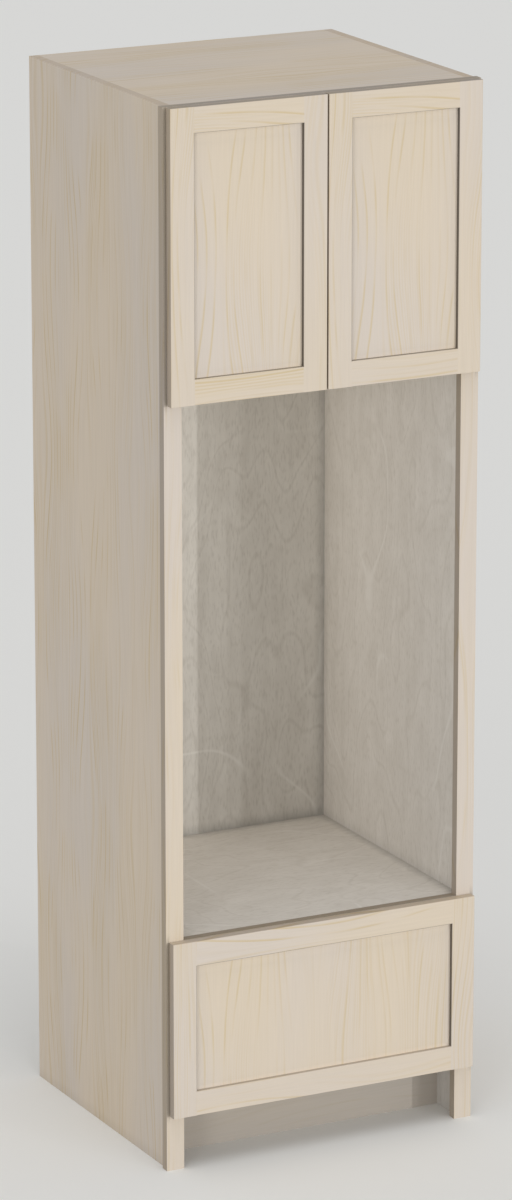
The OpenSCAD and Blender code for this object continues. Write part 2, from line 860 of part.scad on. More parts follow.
drawer_front_stile(LEFT);  // drawer_front_stile_left
drawer_front_stile(RIGHT);  // drawer_front_stile_right
color(MAPLE) top_rail(-x_front, 2 * x_front, oven_deck_z);  // drawer_front_top_rail
color(MAPLE) bottom_rail(-x_front, 2 * x_front, toe_h);  // drawer_front_bottom_rail
drawer_front_panel();
drawer_side(LEFT);  // drawer_side_left
drawer_side(RIGHT);  // drawer_side_right
drawer_box_front();
drawer_box_back();
color(MAPLE_INSIDE) bottom_solid();  // drawer_bottom
runner_drawer(LEFT);  // runner_drawer_left
runner_drawer(RIGHT);  // runner_drawer_right
drawer_screws();
drawer_bumpers();

runner_middle(LEFT);  // runner_middle_left
runner_middle(RIGHT);  // runner_middle_right
ball_cages(row_outer);  // ball_cages_outer
ball_cages(row_inner);  // ball_cages_inner
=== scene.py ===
"""Looks of a tall oven housing unit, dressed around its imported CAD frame.

The unit is a face-frame cabinet of pale maple: two framed doors, an open oven bay and one
drawer over a toe space. Metres, +Z up, the doors face -Y.
"""

import logging
import math
from dataclasses import dataclass, replace
from enum import Enum
from typing import Any

import bmesh
import bpy
from mathutils import Matrix, Vector


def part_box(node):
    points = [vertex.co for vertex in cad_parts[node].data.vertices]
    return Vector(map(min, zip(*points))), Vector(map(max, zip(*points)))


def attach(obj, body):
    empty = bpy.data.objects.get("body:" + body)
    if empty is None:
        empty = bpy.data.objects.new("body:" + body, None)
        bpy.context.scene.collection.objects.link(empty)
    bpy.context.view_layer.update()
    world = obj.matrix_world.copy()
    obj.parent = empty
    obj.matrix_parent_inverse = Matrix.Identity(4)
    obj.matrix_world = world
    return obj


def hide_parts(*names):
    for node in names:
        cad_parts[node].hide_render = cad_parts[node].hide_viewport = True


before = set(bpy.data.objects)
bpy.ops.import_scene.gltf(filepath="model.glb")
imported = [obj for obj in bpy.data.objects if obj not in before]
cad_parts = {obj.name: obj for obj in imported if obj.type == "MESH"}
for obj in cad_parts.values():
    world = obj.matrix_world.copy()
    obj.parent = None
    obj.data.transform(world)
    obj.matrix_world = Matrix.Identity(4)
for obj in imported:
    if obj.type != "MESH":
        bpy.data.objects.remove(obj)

log = logging.getLogger("oven_housing")

MM = 0.001

Tree = bpy.types.NodeTree
Box = tuple[Vector, Vector]
Colour = tuple[float, float, float, float]
# A node's type with its settings, and a kind followed by what the node's inputs take
Kind = tuple[str, dict[str, Any]]
Rows = dict[str, tuple[Any, ...]]

MATHS, VECTORS, RANGES = "ShaderNodeMath", "ShaderNodeVectorMath", "ShaderNodeMapRange"

# Kinds of node. A range takes a value, from, to, and what it gives at these two. A mix takes a
# share and two colours
COORDS: Kind = ("ShaderNodeTexCoord", {})
PLACE: Kind = ("ShaderNodeMapping", {})
NOISE: Kind = ("ShaderNodeTexNoise", {})
CHANCE: Kind = ("ShaderNodeTexWhiteNoise", {"noise_dimensions": "1D"})
SPLIT: Kind = ("ShaderNodeSeparateXYZ", {})
MIX: Kind = ("ShaderNodeMix", {"data_type": "RGBA"})
RANGE: Kind = (RANGES, {})
OPEN_RANGE: Kind = (RANGES, {"clamp": False})
SOFT_RANGE: Kind = (RANGES, {"interpolation_type": "SMOOTHSTEP"})
PLUS: Kind = (MATHS, {"operation": "ADD"})
MINUS: Kind = (MATHS, {"operation": "SUBTRACT"})
TIMES: Kind = (MATHS, {"operation": "MULTIPLY"})
TIMES_PLUS: Kind = (MATHS, {"operation": "MULTIPLY_ADD"})
OVER: Kind = (MATHS, {"operation": "DIVIDE"})
POWER: Kind = (MATHS, {"operation": "POWER"})
LARGER: Kind = (MATHS, {"operation": "MAXIMUM"})
MAGNITUDE: Kind = (MATHS, {"operation": "ABSOLUTE"})
FLOOR: Kind = (MATHS, {"operation": "FLOOR"})
FRACTION: Kind = (MATHS, {"operation": "FRACT"})
PINGPONG: Kind = (MATHS, {"operation": "PINGPONG"})
SINE: Kind = (MATHS, {"operation": "SINE"})
COSINE: Kind = (MATHS, {"operation": "COSINE"})
VECTOR_MINUS: Kind = (VECTORS, {"operation": "SUBTRACT"})
VECTOR_TIMES: Kind = (VECTORS, {"operation": "MULTIPLY"})
VECTOR_SIZE: Kind = (VECTORS, {"operation": "ABSOLUTE"})
DOT: Kind = (VECTORS, {"operation": "DOT_PRODUCT"})
SCALED: Kind = (VECTORS, {"operation": "SCALE"})
GROUP_INPUT: Kind = ("NodeGroupInput", {})
GROUP_OUTPUT: Kind = ("NodeGroupOutput", {})
MOVE: Kind = ("GeometryNodeTransform", {})
CONE: Kind = ("GeometryNodeMeshCone", {})
UNION: Kind = ("GeometryNodeMeshBoolean", {"operation": "UNION", "solver": "EXACT"})
CARVE: Kind = ("GeometryNodeMeshBoolean", {"operation": "DIFFERENCE", "solver": "EXACT"})


class Side(Enum):
    """The two hands of the cabinet, as the sign of x."""

    LEFT = -1
    RIGHT = 1


class Axis(Enum):
    """An axis of the cabinet, along which grain runs or a board's face looks."""

    X = Vector((1, 0, 0))
    Y = Vector((0, 1, 0))
    Z = Vector((0, 0, 1))


class Head(Enum):
    """The shapes of screw head: its crown's share of the height, and its back over its rim."""

    FLAT = (0.12, 0.55)
    PAN = (0.5, 1.0)


# ---- Shared helpers ----


def linear(hex_colour: str) -> Colour:
    """Turns an sRGB colour into the linear one that shaders take.

    Args:
        hex_colour: Six hex digits.
    Returns:
        Linear red, green, blue and an alpha of 1.
    """
    shares = [int(hex_colour[i : i + 2], 16) / 255 for i in (0, 2, 4)]
    low = [s / 12.92 if s <= 0.04045 else ((s + 0.055) / 1.055) ** 2.4 for s in shares]
    return (low[0], low[1], low[2], 1.0)


def add_node(tree: Tree, kind: Kind, inputs: dict[Any, Any]) -> bpy.types.Node:
    """Adds a node with its settings and links.

    Args:
        tree: The node tree that gets the node.
        kind: The node's type and settings.
        inputs: What an input takes, by its name or its place among the inputs in use: a socket,
            a list of sockets, or a plain value.
    Returns:
        The new node.
    """
    node = tree.nodes.new(kind[0])
    for name, setting in kind[1].items():
        setattr(node, name, setting)
    in_use = [socket for socket in node.inputs if socket.enabled]
    for key, value in inputs.items():
        socket = in_use[key] if isinstance(key, int) else node.inputs[key]
        for item in value if isinstance(value, list) else [value]:
            if isinstance(item, bpy.types.NodeSocket):
                tree.links.new(item, socket)
            else:
                socket.default_value = item
    return node


def add_rows(tree: Tree, rows: Rows) -> None:
    """Adds nodes row by row, so that a formula reads as a list.

    Args:
        tree: The node tree that gets the nodes.
        rows: For each new name, the node's kind, then what its inputs take, in their order or
            in a last dictionary. A text that is the name of an earlier row takes the first
            output in use of its node, or the one named after a colon.
    """
    known: dict[str, bpy.types.Node] = {}

    def taken(value: Any) -> Any:
        """Finds the socket that a text stands for, and leaves any other value as it is."""
        if isinstance(value, list):
            return [taken(item) for item in value]
        if not isinstance(value, str) or value.partition(":")[0] not in known:
            return value
        name, _, output = value.partition(":")
        outputs = known[name].outputs
        return outputs[output] if output else next(o for o in outputs if o.enabled)

    for new, (kind, *listed) in rows.items():
        named = listed.pop() if listed and isinstance(listed[-1], dict) else {}
        inputs = dict(enumerate(listed)) | named
        known[new] = add_node(tree, kind, {key: taken(value) for key, value in inputs.items()})


def new_group(name: str, family: str, takes: dict[str, str], gives: dict[str, str]) -> Tree:
    """Makes an empty node group.

    Args:
        name: Its name.
        family: What its nodes make, Shader or Geometry.
        takes: Its inputs and what they carry.
        gives: Its outputs and what they carry.
    Returns:
        The group.
    """
    tree = bpy.data.node_groups.new(name, f"{family}NodeTree")
    for way, sockets in (("INPUT", takes), ("OUTPUT", gives)):
        for socket, carries in sockets.items():
            tree.interface.new_socket(socket, in_out=way, socket_type=f"NodeSocket{carries}")
    return tree


def make_material(name: str, rows: Rows, surface: dict[str, Any]) -> bpy.types.Material:
    """Makes a material.

    Args:
        name: Its name.
        rows: The nodes of its pattern.
        surface: What the inputs of its surface shader take.
    Returns:
        The material.
    """
    material = bpy.data.materials.new(name)
    material.use_nodes = True
    material.node_tree.nodes.clear()
    ends: Rows = {
        "surface": (("ShaderNodeBsdfPrincipled", {}), surface),
        "out": (("ShaderNodeOutputMaterial", {}), "surface"),
    }
    add_rows(material.node_tree, rows | ends)
    return material


def set_material(node: str, material: bpy.types.Material) -> None:
    """Gives a CAD node its material.

    Args:
        node: The CAD node's name.
        material: The material.
    """
    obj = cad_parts[node]
    obj.data.materials.clear()
    obj.data.materials.append(material)
    log.info("dressed %s in %s", node, material.name)


def add_object(name: str, data: Any) -> bpy.types.Object:
    """Adds an object to the scene.

    Args:
        name: The object's name.
        data: Its mesh, light or camera.
    Returns:
        The object, at the origin.
    """
    obj = bpy.data.objects.new(name, data)
    bpy.context.scene.collection.objects.link(obj)
    return obj


def solids_of(node: str) -> list[Box]:
    """Finds the separate solids of a CAD node, in the order of their lowest corners.

    Args:
        node: The CAD node's name.
    Returns:
        The lowest and highest corner of each solid.
    """
    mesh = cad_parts[node].data
    root: dict[tuple, tuple] = {}

    def find(key: tuple) -> tuple:
        """Follows a point to the point that stands for its solid."""
        while root[key] != key:
            root[key] = root[root[key]]
            key = root[key]
        return key

    # Corners within a thousandth of a millimetre are one point
    keys = [tuple(round(c / MM, 3) for c in v.co) for v in mesh.vertices]
    for key in keys:
        root.setdefault(key, key)
    for face in mesh.polygons:
        first = find(keys[face.vertices[0]])
        for vertex in face.vertices[1:]:
            root[find(keys[vertex])] = first
    groups: dict[tuple, list[tuple]] = {}
    for key in set(keys):
        groups.setdefault(find(key), []).append(key)
    boxes = []
    for points in groups.values():
        low = Vector([min(p[i] for p in points) * MM for i in range(3)])
        high = Vector([max(p[i] for p in points) * MM for i in range(3)])
        boxes.append((low, high))
    return sorted(boxes, key=lambda b: tuple(round(c, 5) for c in b[0]))


def middle_of(box: Box) -> Vector:
    """The middle of a box."""
    return (box[0] + box[1]) / 2


# ---- Figure of the wood ----

# Cosines between which a surface starts and fully counts as looking along a direction
FACING = (0.6, 0.9)


def facing_rows(name: str, look: Vector) -> Rows:
    """Rows of a mask that is 1 where a surface looks along a direction.

    Args:
        name: The mask's name.
        look: The direction, in the cabinet's axes.
    Returns:
        The rows, which use coords.
    """
    return {
        f"{name}_along": (DOT, "coords:Normal", tuple(look)),
        name: (RANGE, f"{name}_along", *FACING),
    }


@dataclass(frozen=True)
class Board:
    """A board, and how it was cut from its log.

    Attributes:
        node: Its CAD node.
        grain: The axis that its grain follows.
        face: The axis that its wide face looks along.
        place: Where its middle lies in the log: across, deep and along, in metres.
    """

    node: str
    grain: Axis
    face: Axis
    place: tuple[float, ...]

    def rows(self) -> Rows:
        """Rows of the board's coordinates, and of masks of its faces.

        Returns:
            Rows named coords, in the cabinet, log, in the board's log, and front, back and up,
            the masks of what looks along the board's face, against it, and up.
        """
        face = self.face.value
        turn = Matrix((face.cross(self.grain.value), face, self.grain.value))
        shift = Vector(self.place) - turn @ middle_of(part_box(self.node))
        turned = {"Rotation": tuple(turn.to_euler("XYZ")), "Location": tuple(shift)}
        rows: Rows = {"coords": (COORDS,), "log": (PLACE, "coords:Object", turned)}
        for name, look in (("front", face), ("back", -face), ("up", Axis.Z.value)):
            rows |= facing_rows(name, look)
        return rows


def upright(node: str, *place: float) -> Board:
    """A board that stands up and looks to the front, cut at a place in the log."""
    return Board(node, Axis.Z, Axis.Y, place)


def level(node: str, *place: float) -> Board:
    """A board that lies across and looks to the front, cut at a place in the log."""
    return Board(node, Axis.X, Axis.Y, place)


def flat(node: str, *place: float) -> Board:
    """A board that lies flat, with its grain across, cut at a place in the log."""
    return Board(node, Axis.X, Axis.Z, place)


def sideways(node: str, *place: float) -> Board:
    """A board that looks to the side, with its grain from front to back."""
    return Board(node, Axis.Y, Axis.X, place)


def layer_rows(layers: dict[str, tuple[float, float, float, float]]) -> Rows:
    """Rows of noise that is stretched along the grain, one layer under each name.

    Args:
        layers: For each name, the cycles per metre across and along the grain, the detail,
            and a shift in the noise that keeps the layers apart.
    Returns:
        The rows, which start with the group's input, named log.
    """
    rows: Rows = {"log": (GROUP_INPUT,)}
    for name, (across, along, detail, shift) in layers.items():
        place = {"Location": (shift, shift, shift), "Scale": (across, across, along)}
        rows[f"{name}_place"] = (PLACE, "log", place)
        rows[name] = (NOISE, f"{name}_place", {"Scale": 1.0, "Detail": detail})
    return rows


@dataclass(frozen=True)
class RingFigure:
    """Growth lines of sliced maple, drawn in the log's own space, as a node group.

    Slender tan lines run along the grain, each with one soft and one crisp side. At regular
    places two of them draw together to a waist and part again. Finer lines lie between them.

    Attributes:
        pitch: Mean distance between two strong lines.
        soft_side: Width of a line's soft side, in millimetres.
        crisp_side: Width of its crisp side, in millimetres.
        steepness: Power by which its soft side rises.
        fine_pitch: Distance between two fine lines.
        wave_across: Distance between two waists, across the grain.
        wave_along: The same along the grain.
        bow: How far the lines part between two waists.
        wander: How far slow wandering moves a line.
        ripple: How far quick rippling moves it.
        oblique: How far the lines move across for a step into the log.
        least_density: The fewest rings a step may meet, so that no line grows too wide.
        faintest: What the faintest line keeps of its strength.
        between: What a line keeps between its patches.
        veiled: What a fine line keeps behind a veil.
        fibre_pitch: Distance between two fibres, drawn coarser than real so that it shows.
    """

    pitch: float = 19 * MM
    soft_side: float = 5.5
    crisp_side: float = 2.2
    steepness: float = 1.6
    fine_pitch: float = 5.6 * MM
    wave_across: float = 214 * MM
    wave_along: float = 700 * MM
    bow: float = 31 * MM
    wander: float = 18 * MM
    ripple: float = 7 * MM
    oblique: float = 0.5
    least_density: float = 0.4
    faintest: float = 0.2
    between: float = 0.05
    veiled: float = 0.1
    fibre_pitch: float = 2.6 * MM

    def group(self) -> Tree:
        """Builds the node group.

        Returns:
            A group with outputs Streak, Fine, Fibre and Cloud, each from 0 to 1.
        """
        gives = dict.fromkeys(("Streak", "Fine", "Fibre", "Cloud"), "Float")
        tree = new_group("maple_ring_figure", "Shader", {"Log": "Vector"}, gives)
        turn, rise = math.tau / self.wave_across, math.tau / self.wave_along
        # Cycles per metre across and along the grain, detail and shift
        layers = {
            "slow": (2.4, 0.9, 1.0, 0.0),
            "quick": (14.0, 5.0, 2.5, 0.0),
            "patches": (17.0, 6.0, 1.0, 7.3),
            "gauze": (9.0, 1.3, 1.0, 3.1),
            "fibre": (1 / self.fibre_pitch, 8.0, 2.0, 0.0),
            "haze": (4.5, 1.1, 1.0, 11.9),
        }
        lines: Rows = {
            "at": (SPLIT, "log"),
            "drift": (TIMES_PLUS, "slow", self.wander, -self.wander / 2),
            "shiver": (TIMES_PLUS, "quick", self.ripple, "drift"),
            "aslant": (TIMES_PLUS, "at:Y", self.oblique, "at:X"),
            "straight": (PLUS, "aslant", "shiver"),
            # The lines part by the sine of their place, away from the waist's height
            "turn": (TIMES, "straight", turn),
            "sine": (SINE, "turn"),
            "cosine": (COSINE, "turn"),
            "rise": (TIMES, "at:Z", rise),
            "swing": (COSINE, "rise"),
            "open": (TIMES_PLUS, "swing", -0.5, 0.5),
            "bend": (TIMES, "sine", "open"),
            "across": (TIMES_PLUS, "bend", -self.bow, "straight"),
            # How many rings a step across meets, so that a line keeps its width
            "spread": (TIMES, "cosine", "open"),
            "slope": (TIMES_PLUS, "spread", -self.bow * turn, 1.0),
            "steps": (MAGNITUDE, "slope"),
            "density": (LARGER, "steps", self.least_density),
            # One line in each ring, somewhere about its middle
            "ring": (OVER, "across", self.pitch),
            "number": (FLOOR, "ring"),
            "share": (FRACTION, "ring"),
            "chance": (CHANCE, "number"),
            "home": (TIMES_PLUS, "chance", 0.5, 0.25),
            "off": (MINUS, "share", "home"),
            "reach": (TIMES, "off", self.pitch / MM),
            "distance": (OVER, "reach", "density"),
            "swell": (SOFT_RANGE, "distance", -self.soft_side, 0.0),
            "fall": (SOFT_RANGE, "distance", 0.0, self.crisp_side, 1.0, 0.0),
            "peak": (POWER, "swell", self.steepness),
            "line": (TIMES, "peak", "fall"),
            # Each line has its own strength, from a second draw, and shows in patches
            "second": (PLUS, "number", 0.37),
            "luck": (CHANCE, "second"),
            "strength": (RANGE, "luck", 0.15, 1.0, self.faintest, 1.0),
            "patch": (SOFT_RANGE, "patches", 0.4, 0.62, self.between),
            "bold": (TIMES, "line", "strength"),
            "streak": (TIMES, "bold", "patch"),
        }
        ground: Rows = {
            # The fine lines, faint by chance and behind a veil
            "thread": (OVER, "across", self.fine_pitch),
            "thread_number": (FLOOR, "thread"),
            "thread_share": (PINGPONG, "thread", 0.5),
            "thread_chance": (CHANCE, "thread_number"),
            "thread_line": (SOFT_RANGE, "thread_share", 0.1, 0.5),
            "faint": (TIMES, "thread_line", "thread_chance"),
            "veil": (SOFT_RANGE, "gauze", 0.42, 0.6, self.veiled),
            "fine": (TIMES, "faint", "veil"),
            "cloud": (SOFT_RANGE, "haze", 0.35, 0.65),
            "out": (GROUP_OUTPUT, "streak", "fine", "fibre", "cloud"),
        }
        add_rows(tree, layer_rows(layers) | lines | ground)
        return tree


@dataclass(frozen=True)
class RotaryFigure:
    """Figure of veneer that was peeled off a turning log, as a node group.

    The peel crosses the same ring again and again, which leaves broad, wavy, watery bands, each
    with a thin dark line along it, and now and then a silky arc. Faint stripes, mottling and
    short pores lie along the grain.

    Attributes:
        bands: Number of bands over the range of the slow swell.
        line_width: Width of the line along a band, as a share of the band.
        arc_width: Width of a silky arc, as a share of the swell's range.
        band_dark: How much a band darkens the wood.
        line_dark: The same for the line along it.
        stripe_dark: The same for a stripe.
        mottle_dark: The same for the mottling.
        pore_dark: The same for a pore.
    """

    bands: float = 15.0
    line_width: float = 0.09
    arc_width: float = 0.014
    band_dark: float = 0.25
    line_dark: float = 0.24
    stripe_dark: float = 0.4
    mottle_dark: float = 0.6
    pore_dark: float = 0.35

    def group(self) -> Tree:
        """Builds the node group.

        Returns:
            A group with outputs Shade and Arc, each from 0 to 1.
        """
        gives = dict.fromkeys(("Shade", "Arc"), "Float")
        tree = new_group("rotary_veneer_figure", "Shader", {"Log": "Vector"}, gives)
        # Cycles per metre across and along the grain, detail and shift
        layers = {
            "swell": (3.6, 1.3, 2.0, 0.0),
            "stripe": (70.0, 4.0, 2.0, 5.2),
            "mottle": (26.0, 13.0, 3.0, 9.7),
            "dash": (260.0, 60.0, 1.0, 2.4),
            "curl": (4.2, 4.6, 0.0, 14.1),
            "veil": (5.0, 5.0, 0.0, 20.3),
        }
        rows: Rows = {
            "phase": (TIMES, "swell", self.bands),
            "band": (PINGPONG, "phase", 0.5),
            "line": (SOFT_RANGE, "band", 0.0, self.line_width, self.line_dark, 0.0),
            "pore": (RANGE, "dash", 0.5, 0.75),
            "banded": (TIMES_PLUS, "band", self.band_dark, "line"),
            "striped": (TIMES_PLUS, "stripe", self.stripe_dark, "banded"),
            "mottled": (TIMES_PLUS, "mottle", self.mottle_dark, "striped"),
            "dashed": (TIMES_PLUS, "pore", self.pore_dark, "mottled"),
            "shade": (RANGE, "dashed", 0.3, 0.95),
            # An arc lies where the curl crosses its middle, and only here and there
            "above": (MINUS, "curl", 0.5),
            "away": (MAGNITUDE, "above"),
            "bow": (SOFT_RANGE, "away", 0.0, self.arc_width, 1.0, 0.0),
            "some": (SOFT_RANGE, "veil", 0.42, 0.56),
            "arc": (TIMES, "bow", "some"),
            "out": (GROUP_OUTPUT, "shade", "arc"),
        }
        add_rows(tree, layer_rows(layers) | rows)
        return tree


# ---- Finishes ----

# Matt lacquer on wood mirrors less than bare plastic
WOOD_SHEEN = {"Specular IOR Level": 0.35}
# Sawn edges turn browner, partly their own tone and partly painted shade: what an edge keeps of
# red, green and blue
EDGE_WARMTH = (1.0, 0.965, 0.93, 1.0)
WHITE = (1.0, 1.0, 1.0, 1.0)


@dataclass(frozen=True)
class CreaseShade:
    """Painted shade that darkens the creases where boards meet, as ambient occlusion finds them.

    Attributes:
        reach: How far from a crease the painted shade reaches.
        keep: What the deepest part of a crease keeps of the lightness.
        margin: Distance from the cabinet's middle within which no shade is painted.
        mopped: Height above the floor below which no shade is painted.
        deep: How little of its surroundings the deepest part sees, as a share.
    """

    reach: float
    keep: float
    margin: float = 0.0
    mopped: float = 0.0
    deep: float = 0.5


# Painted shade in the corners of the open bay
CORNER_CREASE_SHADE = CreaseShade(26 * MM, 0.7)
# Fainter painted shade on the sides of the bay
WALL_CREASE_SHADE = CreaseShade(26 * MM, 0.9)
# Painted shadow of the doors and the drawer front on the face frame: only on the narrow strip
# outside them, not near the floor
STRIP_PAINTED_SHADOW = CreaseShade(20 * MM, 0.42, 336.5 * MM, 30 * MM)


@dataclass(frozen=True)
class BoardFinish:
    """Wood under a clear, nearly matt lacquer.

    Attributes:
        name: What the wood is.
        pale: Colour of the clear wood between the lines.
        grey: Colour of its cooler clouds.
        tan: Colour of a growth line.
        streak: How strongly the growth lines show.
        fine: How strongly the fine lines show.
        fibre: How far the fibres lighten and darken the wood.
        edge: What a sawn edge keeps of the face's lightness, partly for its darker grain and
            partly as painted shade.
        top_edge: The same for an edge that looks up: painted light, lighter than the side edges
            because light falls from above.
        recess: The same for an upright inner edge beside a panel: painted shade of the recess.
        ledge: The same for a level inner edge.
        arris: The same for the narrow eased corner around the opening: a painted shade line.
        sill_arris: The same for the lower rail's corner, where the painted shade line is fainter.
        roughness: Roughness of the lacquer.
    """

    name: str
    pale: str
    grey: str
    tan: str
    streak: float = 0.7
    fine: float = 0.3
    fibre: float = 0.05
    edge: float = 0.65
    top_edge: float = 0.83
    recess: float = 0.54
    ledge: float = 1.0
    arris: float = 0.57
    sill_arris: float = 0.85
    roughness: float = 0.52


@dataclass(frozen=True)
class VeneerFinish:
    """Peeled veneer on a plywood core, under a sealer without sheen.

    Attributes:
        name: What the veneer is.
        pale: Colour of its light bands.
        dark: Colour of its dark bands.
        silk: Colour of its silky arcs.
        gleam: How strongly the silky arcs show.
        edge: What a board's edge keeps of the face's lightness.
        roughness: Roughness of the sealer.
    """

    name: str
    pale: str
    dark: str
    silk: str
    gleam: float = 0.55
    edge: float = 0.7
    roughness: float = 0.6


# Sliced maple, sanded and sprayed with clear lacquer: pale and even, with slender tan lines
MAPLE = BoardFinish("clear_lacquered_maple", "D8CAB6", "D4C9BD", "CCB78C", 0.7, 0.35)
# The doors' frames, with stronger lines and their top edges much darker: painted shade
DOOR_MAPLE = replace(MAPLE, name="door_frame_maple", streak=0.8, fine=0.6, top_edge=0.48)
# The drawer's frame: the same wood, without the doors' painted shade on its top edges
DRAWER_FRAME = replace(DOOR_MAPLE, name="drawer_frame_maple", top_edge=0.83)
# Quiet, straight-grained maple for the face frame: the lines hardly show
QUIET_MAPLE = replace(DOOR_MAPLE, name="straight_grained_maple", streak=0.55, edge=0.61)
# Maple face veneer on a thick board: the same lines, thinner and closer
MAPLE_FACE = BoardFinish("maple_veneer_board", "D7C9B7", "D2C7BB", "C9B388", 0.9, 0.6, 0.07)
# Toe board of a greyer, darker veneer: painted shade of the toe space
TOE_SHADED_FACE = BoardFinish("toe_veneer_painted_shade", "B9AFA2", "B5ADA3", "AC9D80", 0.4, 0.3, 0.06)
# Drawer sides of plain maple under a thin sealer
DRAWER_MAPLE = BoardFinish("sealed_drawer_maple", "DDD2BF", "D8D0C2", "CDBB98", 0.5, 0.3)
# Unfinished birch for blocks and cleats: a little yellow, with quiet grain
BIRCH = BoardFinish("planed_birch", "D9C7A6", "D5C6AC", "C3A97F", 0.4, 0.3)
# Steamed beech dowel: pinker and darker than the boards
BEECH = BoardFinish("steamed_beech", "C9A98A", "C4A68B", "B08D6C", 0.4, 0.3)
# Birch plywood inside: greyer than the front, watery and mottled
INTERIOR = VeneerFinish("sealed_birch_plywood", "F4EFE8", "E1DBD2", "FAF6F0")
# The back's plywood is thinner and cut from darker sheets
BACK_VENEER = VeneerFinish("birch_back_plywood", "E2DDD4", "CCC6BC", "E9E5DD")


class WoodShop:
    """Makes a material for each board, all from the same two figures."""

    # Width of the painted shade line on the eased corner around an opening, and of its soft edge
    arris_width: float = 0.8 * MM
    arris_soft: float = 0.3 * MM
    # Width of the painted shadow line where a panel enters its groove, of its soft edge, and what
    # it keeps
    border: float = 0.5 * MM
    border_soft: float = 0.4 * MM
    border_shade: float = 0.85
    # Painted light: a paler margin of a panel beside the frame and under its top, which cancels
    # the shade of its recess
    margin: float = 9 * MM
    top_margin: float = 22 * MM
    margin_painted_light: float = 1.13

    def __init__(self) -> None:
        """Builds the figures once."""
        self.rings = RingFigure().group()
        self.rotary = RotaryFigure().group()

    def wood_rows(self, finish: BoardFinish) -> Rows:
        """Rows of the colour of solid or sliced wood, with its edges, which ends in shaded.

        Args:
            finish: The wood.
        Returns:
            The rows, which use log and the masks of the board's faces.
        """
        pale, grey, tan = (linear(c) for c in (finish.pale, finish.grey, finish.tan))
        rows: Rows = {
            "figure": (("ShaderNodeGroup", {"node_tree": self.rings}), "log"),
            "ground": (MIX, "figure:Cloud", pale, grey),
            "fine": (TIMES, "figure:Fine", finish.fine),
            "lined": (MIX, "fine", "ground", tan),
            "streak": (TIMES, "figure:Streak", finish.streak),
            "streaked": (MIX, "streak", "lined", tan),
            "fibre": (TIMES_PLUS, "figure:Fibre", finish.fibre * 2, 1 - finish.fibre),
            "wood": (SCALED, "streaked", "fibre"),
        }
        return rows | self.edge_rows("wood", finish.edge, finish.top_edge)

    def peel_rows(self, finish: VeneerFinish, middle: Vector, drift: Vector) -> Rows:
        """Rows of the colour of peeled veneer, with painted light that lightens it along an axis,
        which ends in toned.

        Args:
            finish: The veneer.
            middle: Where its tone is as the finish says.
            drift: How much painted light lightens it along each axis, as a share per metre.
        Returns:
            The rows, which use coords and log.
        """
        pale, dark, silk = (linear(c) for c in (finish.pale, finish.dark, finish.silk))
        return {
            "peeled": (("ShaderNodeGroup", {"node_tree": self.rotary}), "log"),
            "peel_ground": (MIX, "peeled:Shade", pale, dark),
            "arc": (TIMES, "peeled:Arc", finish.gleam),
            "peel": (MIX, "arc", "peel_ground", silk),
            # Painted light: the veneer lightens along drift, against the shade deep in the bay
            "apart": (VECTOR_MINUS, "coords:Object", tuple(middle)),
            "lighter": (DOT, "apart", tuple(drift)),
            "tone": (PLUS, "lighter", 1.0),
            "toned": (SCALED, "peel", "tone"),
        }

    def edge_rows(self, colour: str, edge: float, top_edge: float) -> Rows:
        """Rows that darken and warm a colour on a board's edges, partly the edge grain's own tone
        and partly painted shade, lighter on edges that look up, and end in shaded.

        Args:
            colour: The name of the colour.
            edge: What an edge keeps.
            top_edge: What an edge that looks up keeps.
        Returns:
            The rows, which use the masks front, back and up.
        """
        # How far top_edge lies on the way from edge to 1
        lift = (top_edge - edge) / (1 - edge)
        return {
            # Painted shade on the edges, partly the grain's own darker tone, lighter on edges
            # that look up
            "faces": (PLUS, "front", "back"),
            "edges": (MINUS, 1.0, "faces"),
            "top_edges": (TIMES, "up", "edges"),
            "lit": (TIMES_PLUS, "top_edges", lift, "faces"),
            "keep": (OPEN_RANGE, "lit", 0.0, 1.0, edge, 1.0),
            "warmth": (MIX, "edges", WHITE, EDGE_WARMTH),
            "warmed": (VECTOR_TIMES, colour, "warmth"),
            "shaded": (SCALED, "warmed", "keep"),
        }

    def crease_shade_rows(self, colour: str, crease_shade: CreaseShade) -> Rows:
        """Rows of painted shade that darken a colour near creases, and end in dusty.

        Args:
            colour: The name of the colour.
            crease_shade: How far and how dark the painted shade reaches.
        Returns:
            The rows, which use coords.
        """
        return {
            # Painted shade: darker where ambient occlusion finds a crease, left out within the
            # margin and near the floor
            "crease": (("ShaderNodeAmbientOcclusion", {"samples": 8}), {"Distance": crease_shade.reach}),
            "clean": (RANGE, "crease:AO", crease_shade.deep, 1.0, crease_shade.keep),
            "at": (SPLIT, "coords:Object"),
            "aside": (MAGNITUDE, "at:X"),
            "wiped": (RANGE, "aside", crease_shade.margin - MM, crease_shade.margin, 1.0, 0.0),
            "mopped": (RANGE, "at:Z", crease_shade.mopped - MM, crease_shade.mopped, 1.0, 0.0),
            "spared": (LARGER, "wiped", "mopped"),
            "left": (LARGER, "clean", "spared"),
            "dusty": (SCALED, colour, "left"),
        }

    def rim_rows(self, opening: Box) -> Rows:
        """Rows of the distance outwards from a panel's opening, below 0 inside it: rim.

        Args:
            opening: The lowest and highest corner of the opening.
        Returns:
            The rows, which use coords.
        """
        half = (opening[1] - opening[0]) / 2
        return {
            "centred": (VECTOR_MINUS, "coords:Object", tuple(middle_of(opening))),
            "sizes": (VECTOR_SIZE, "centred"),
            "beyond": (VECTOR_MINUS, "sizes", (half.x, 0.0, half.z)),
            "rims": (SPLIT, "beyond"),
            "rim": (LARGER, "rims:X", "rims:Z"),
        }

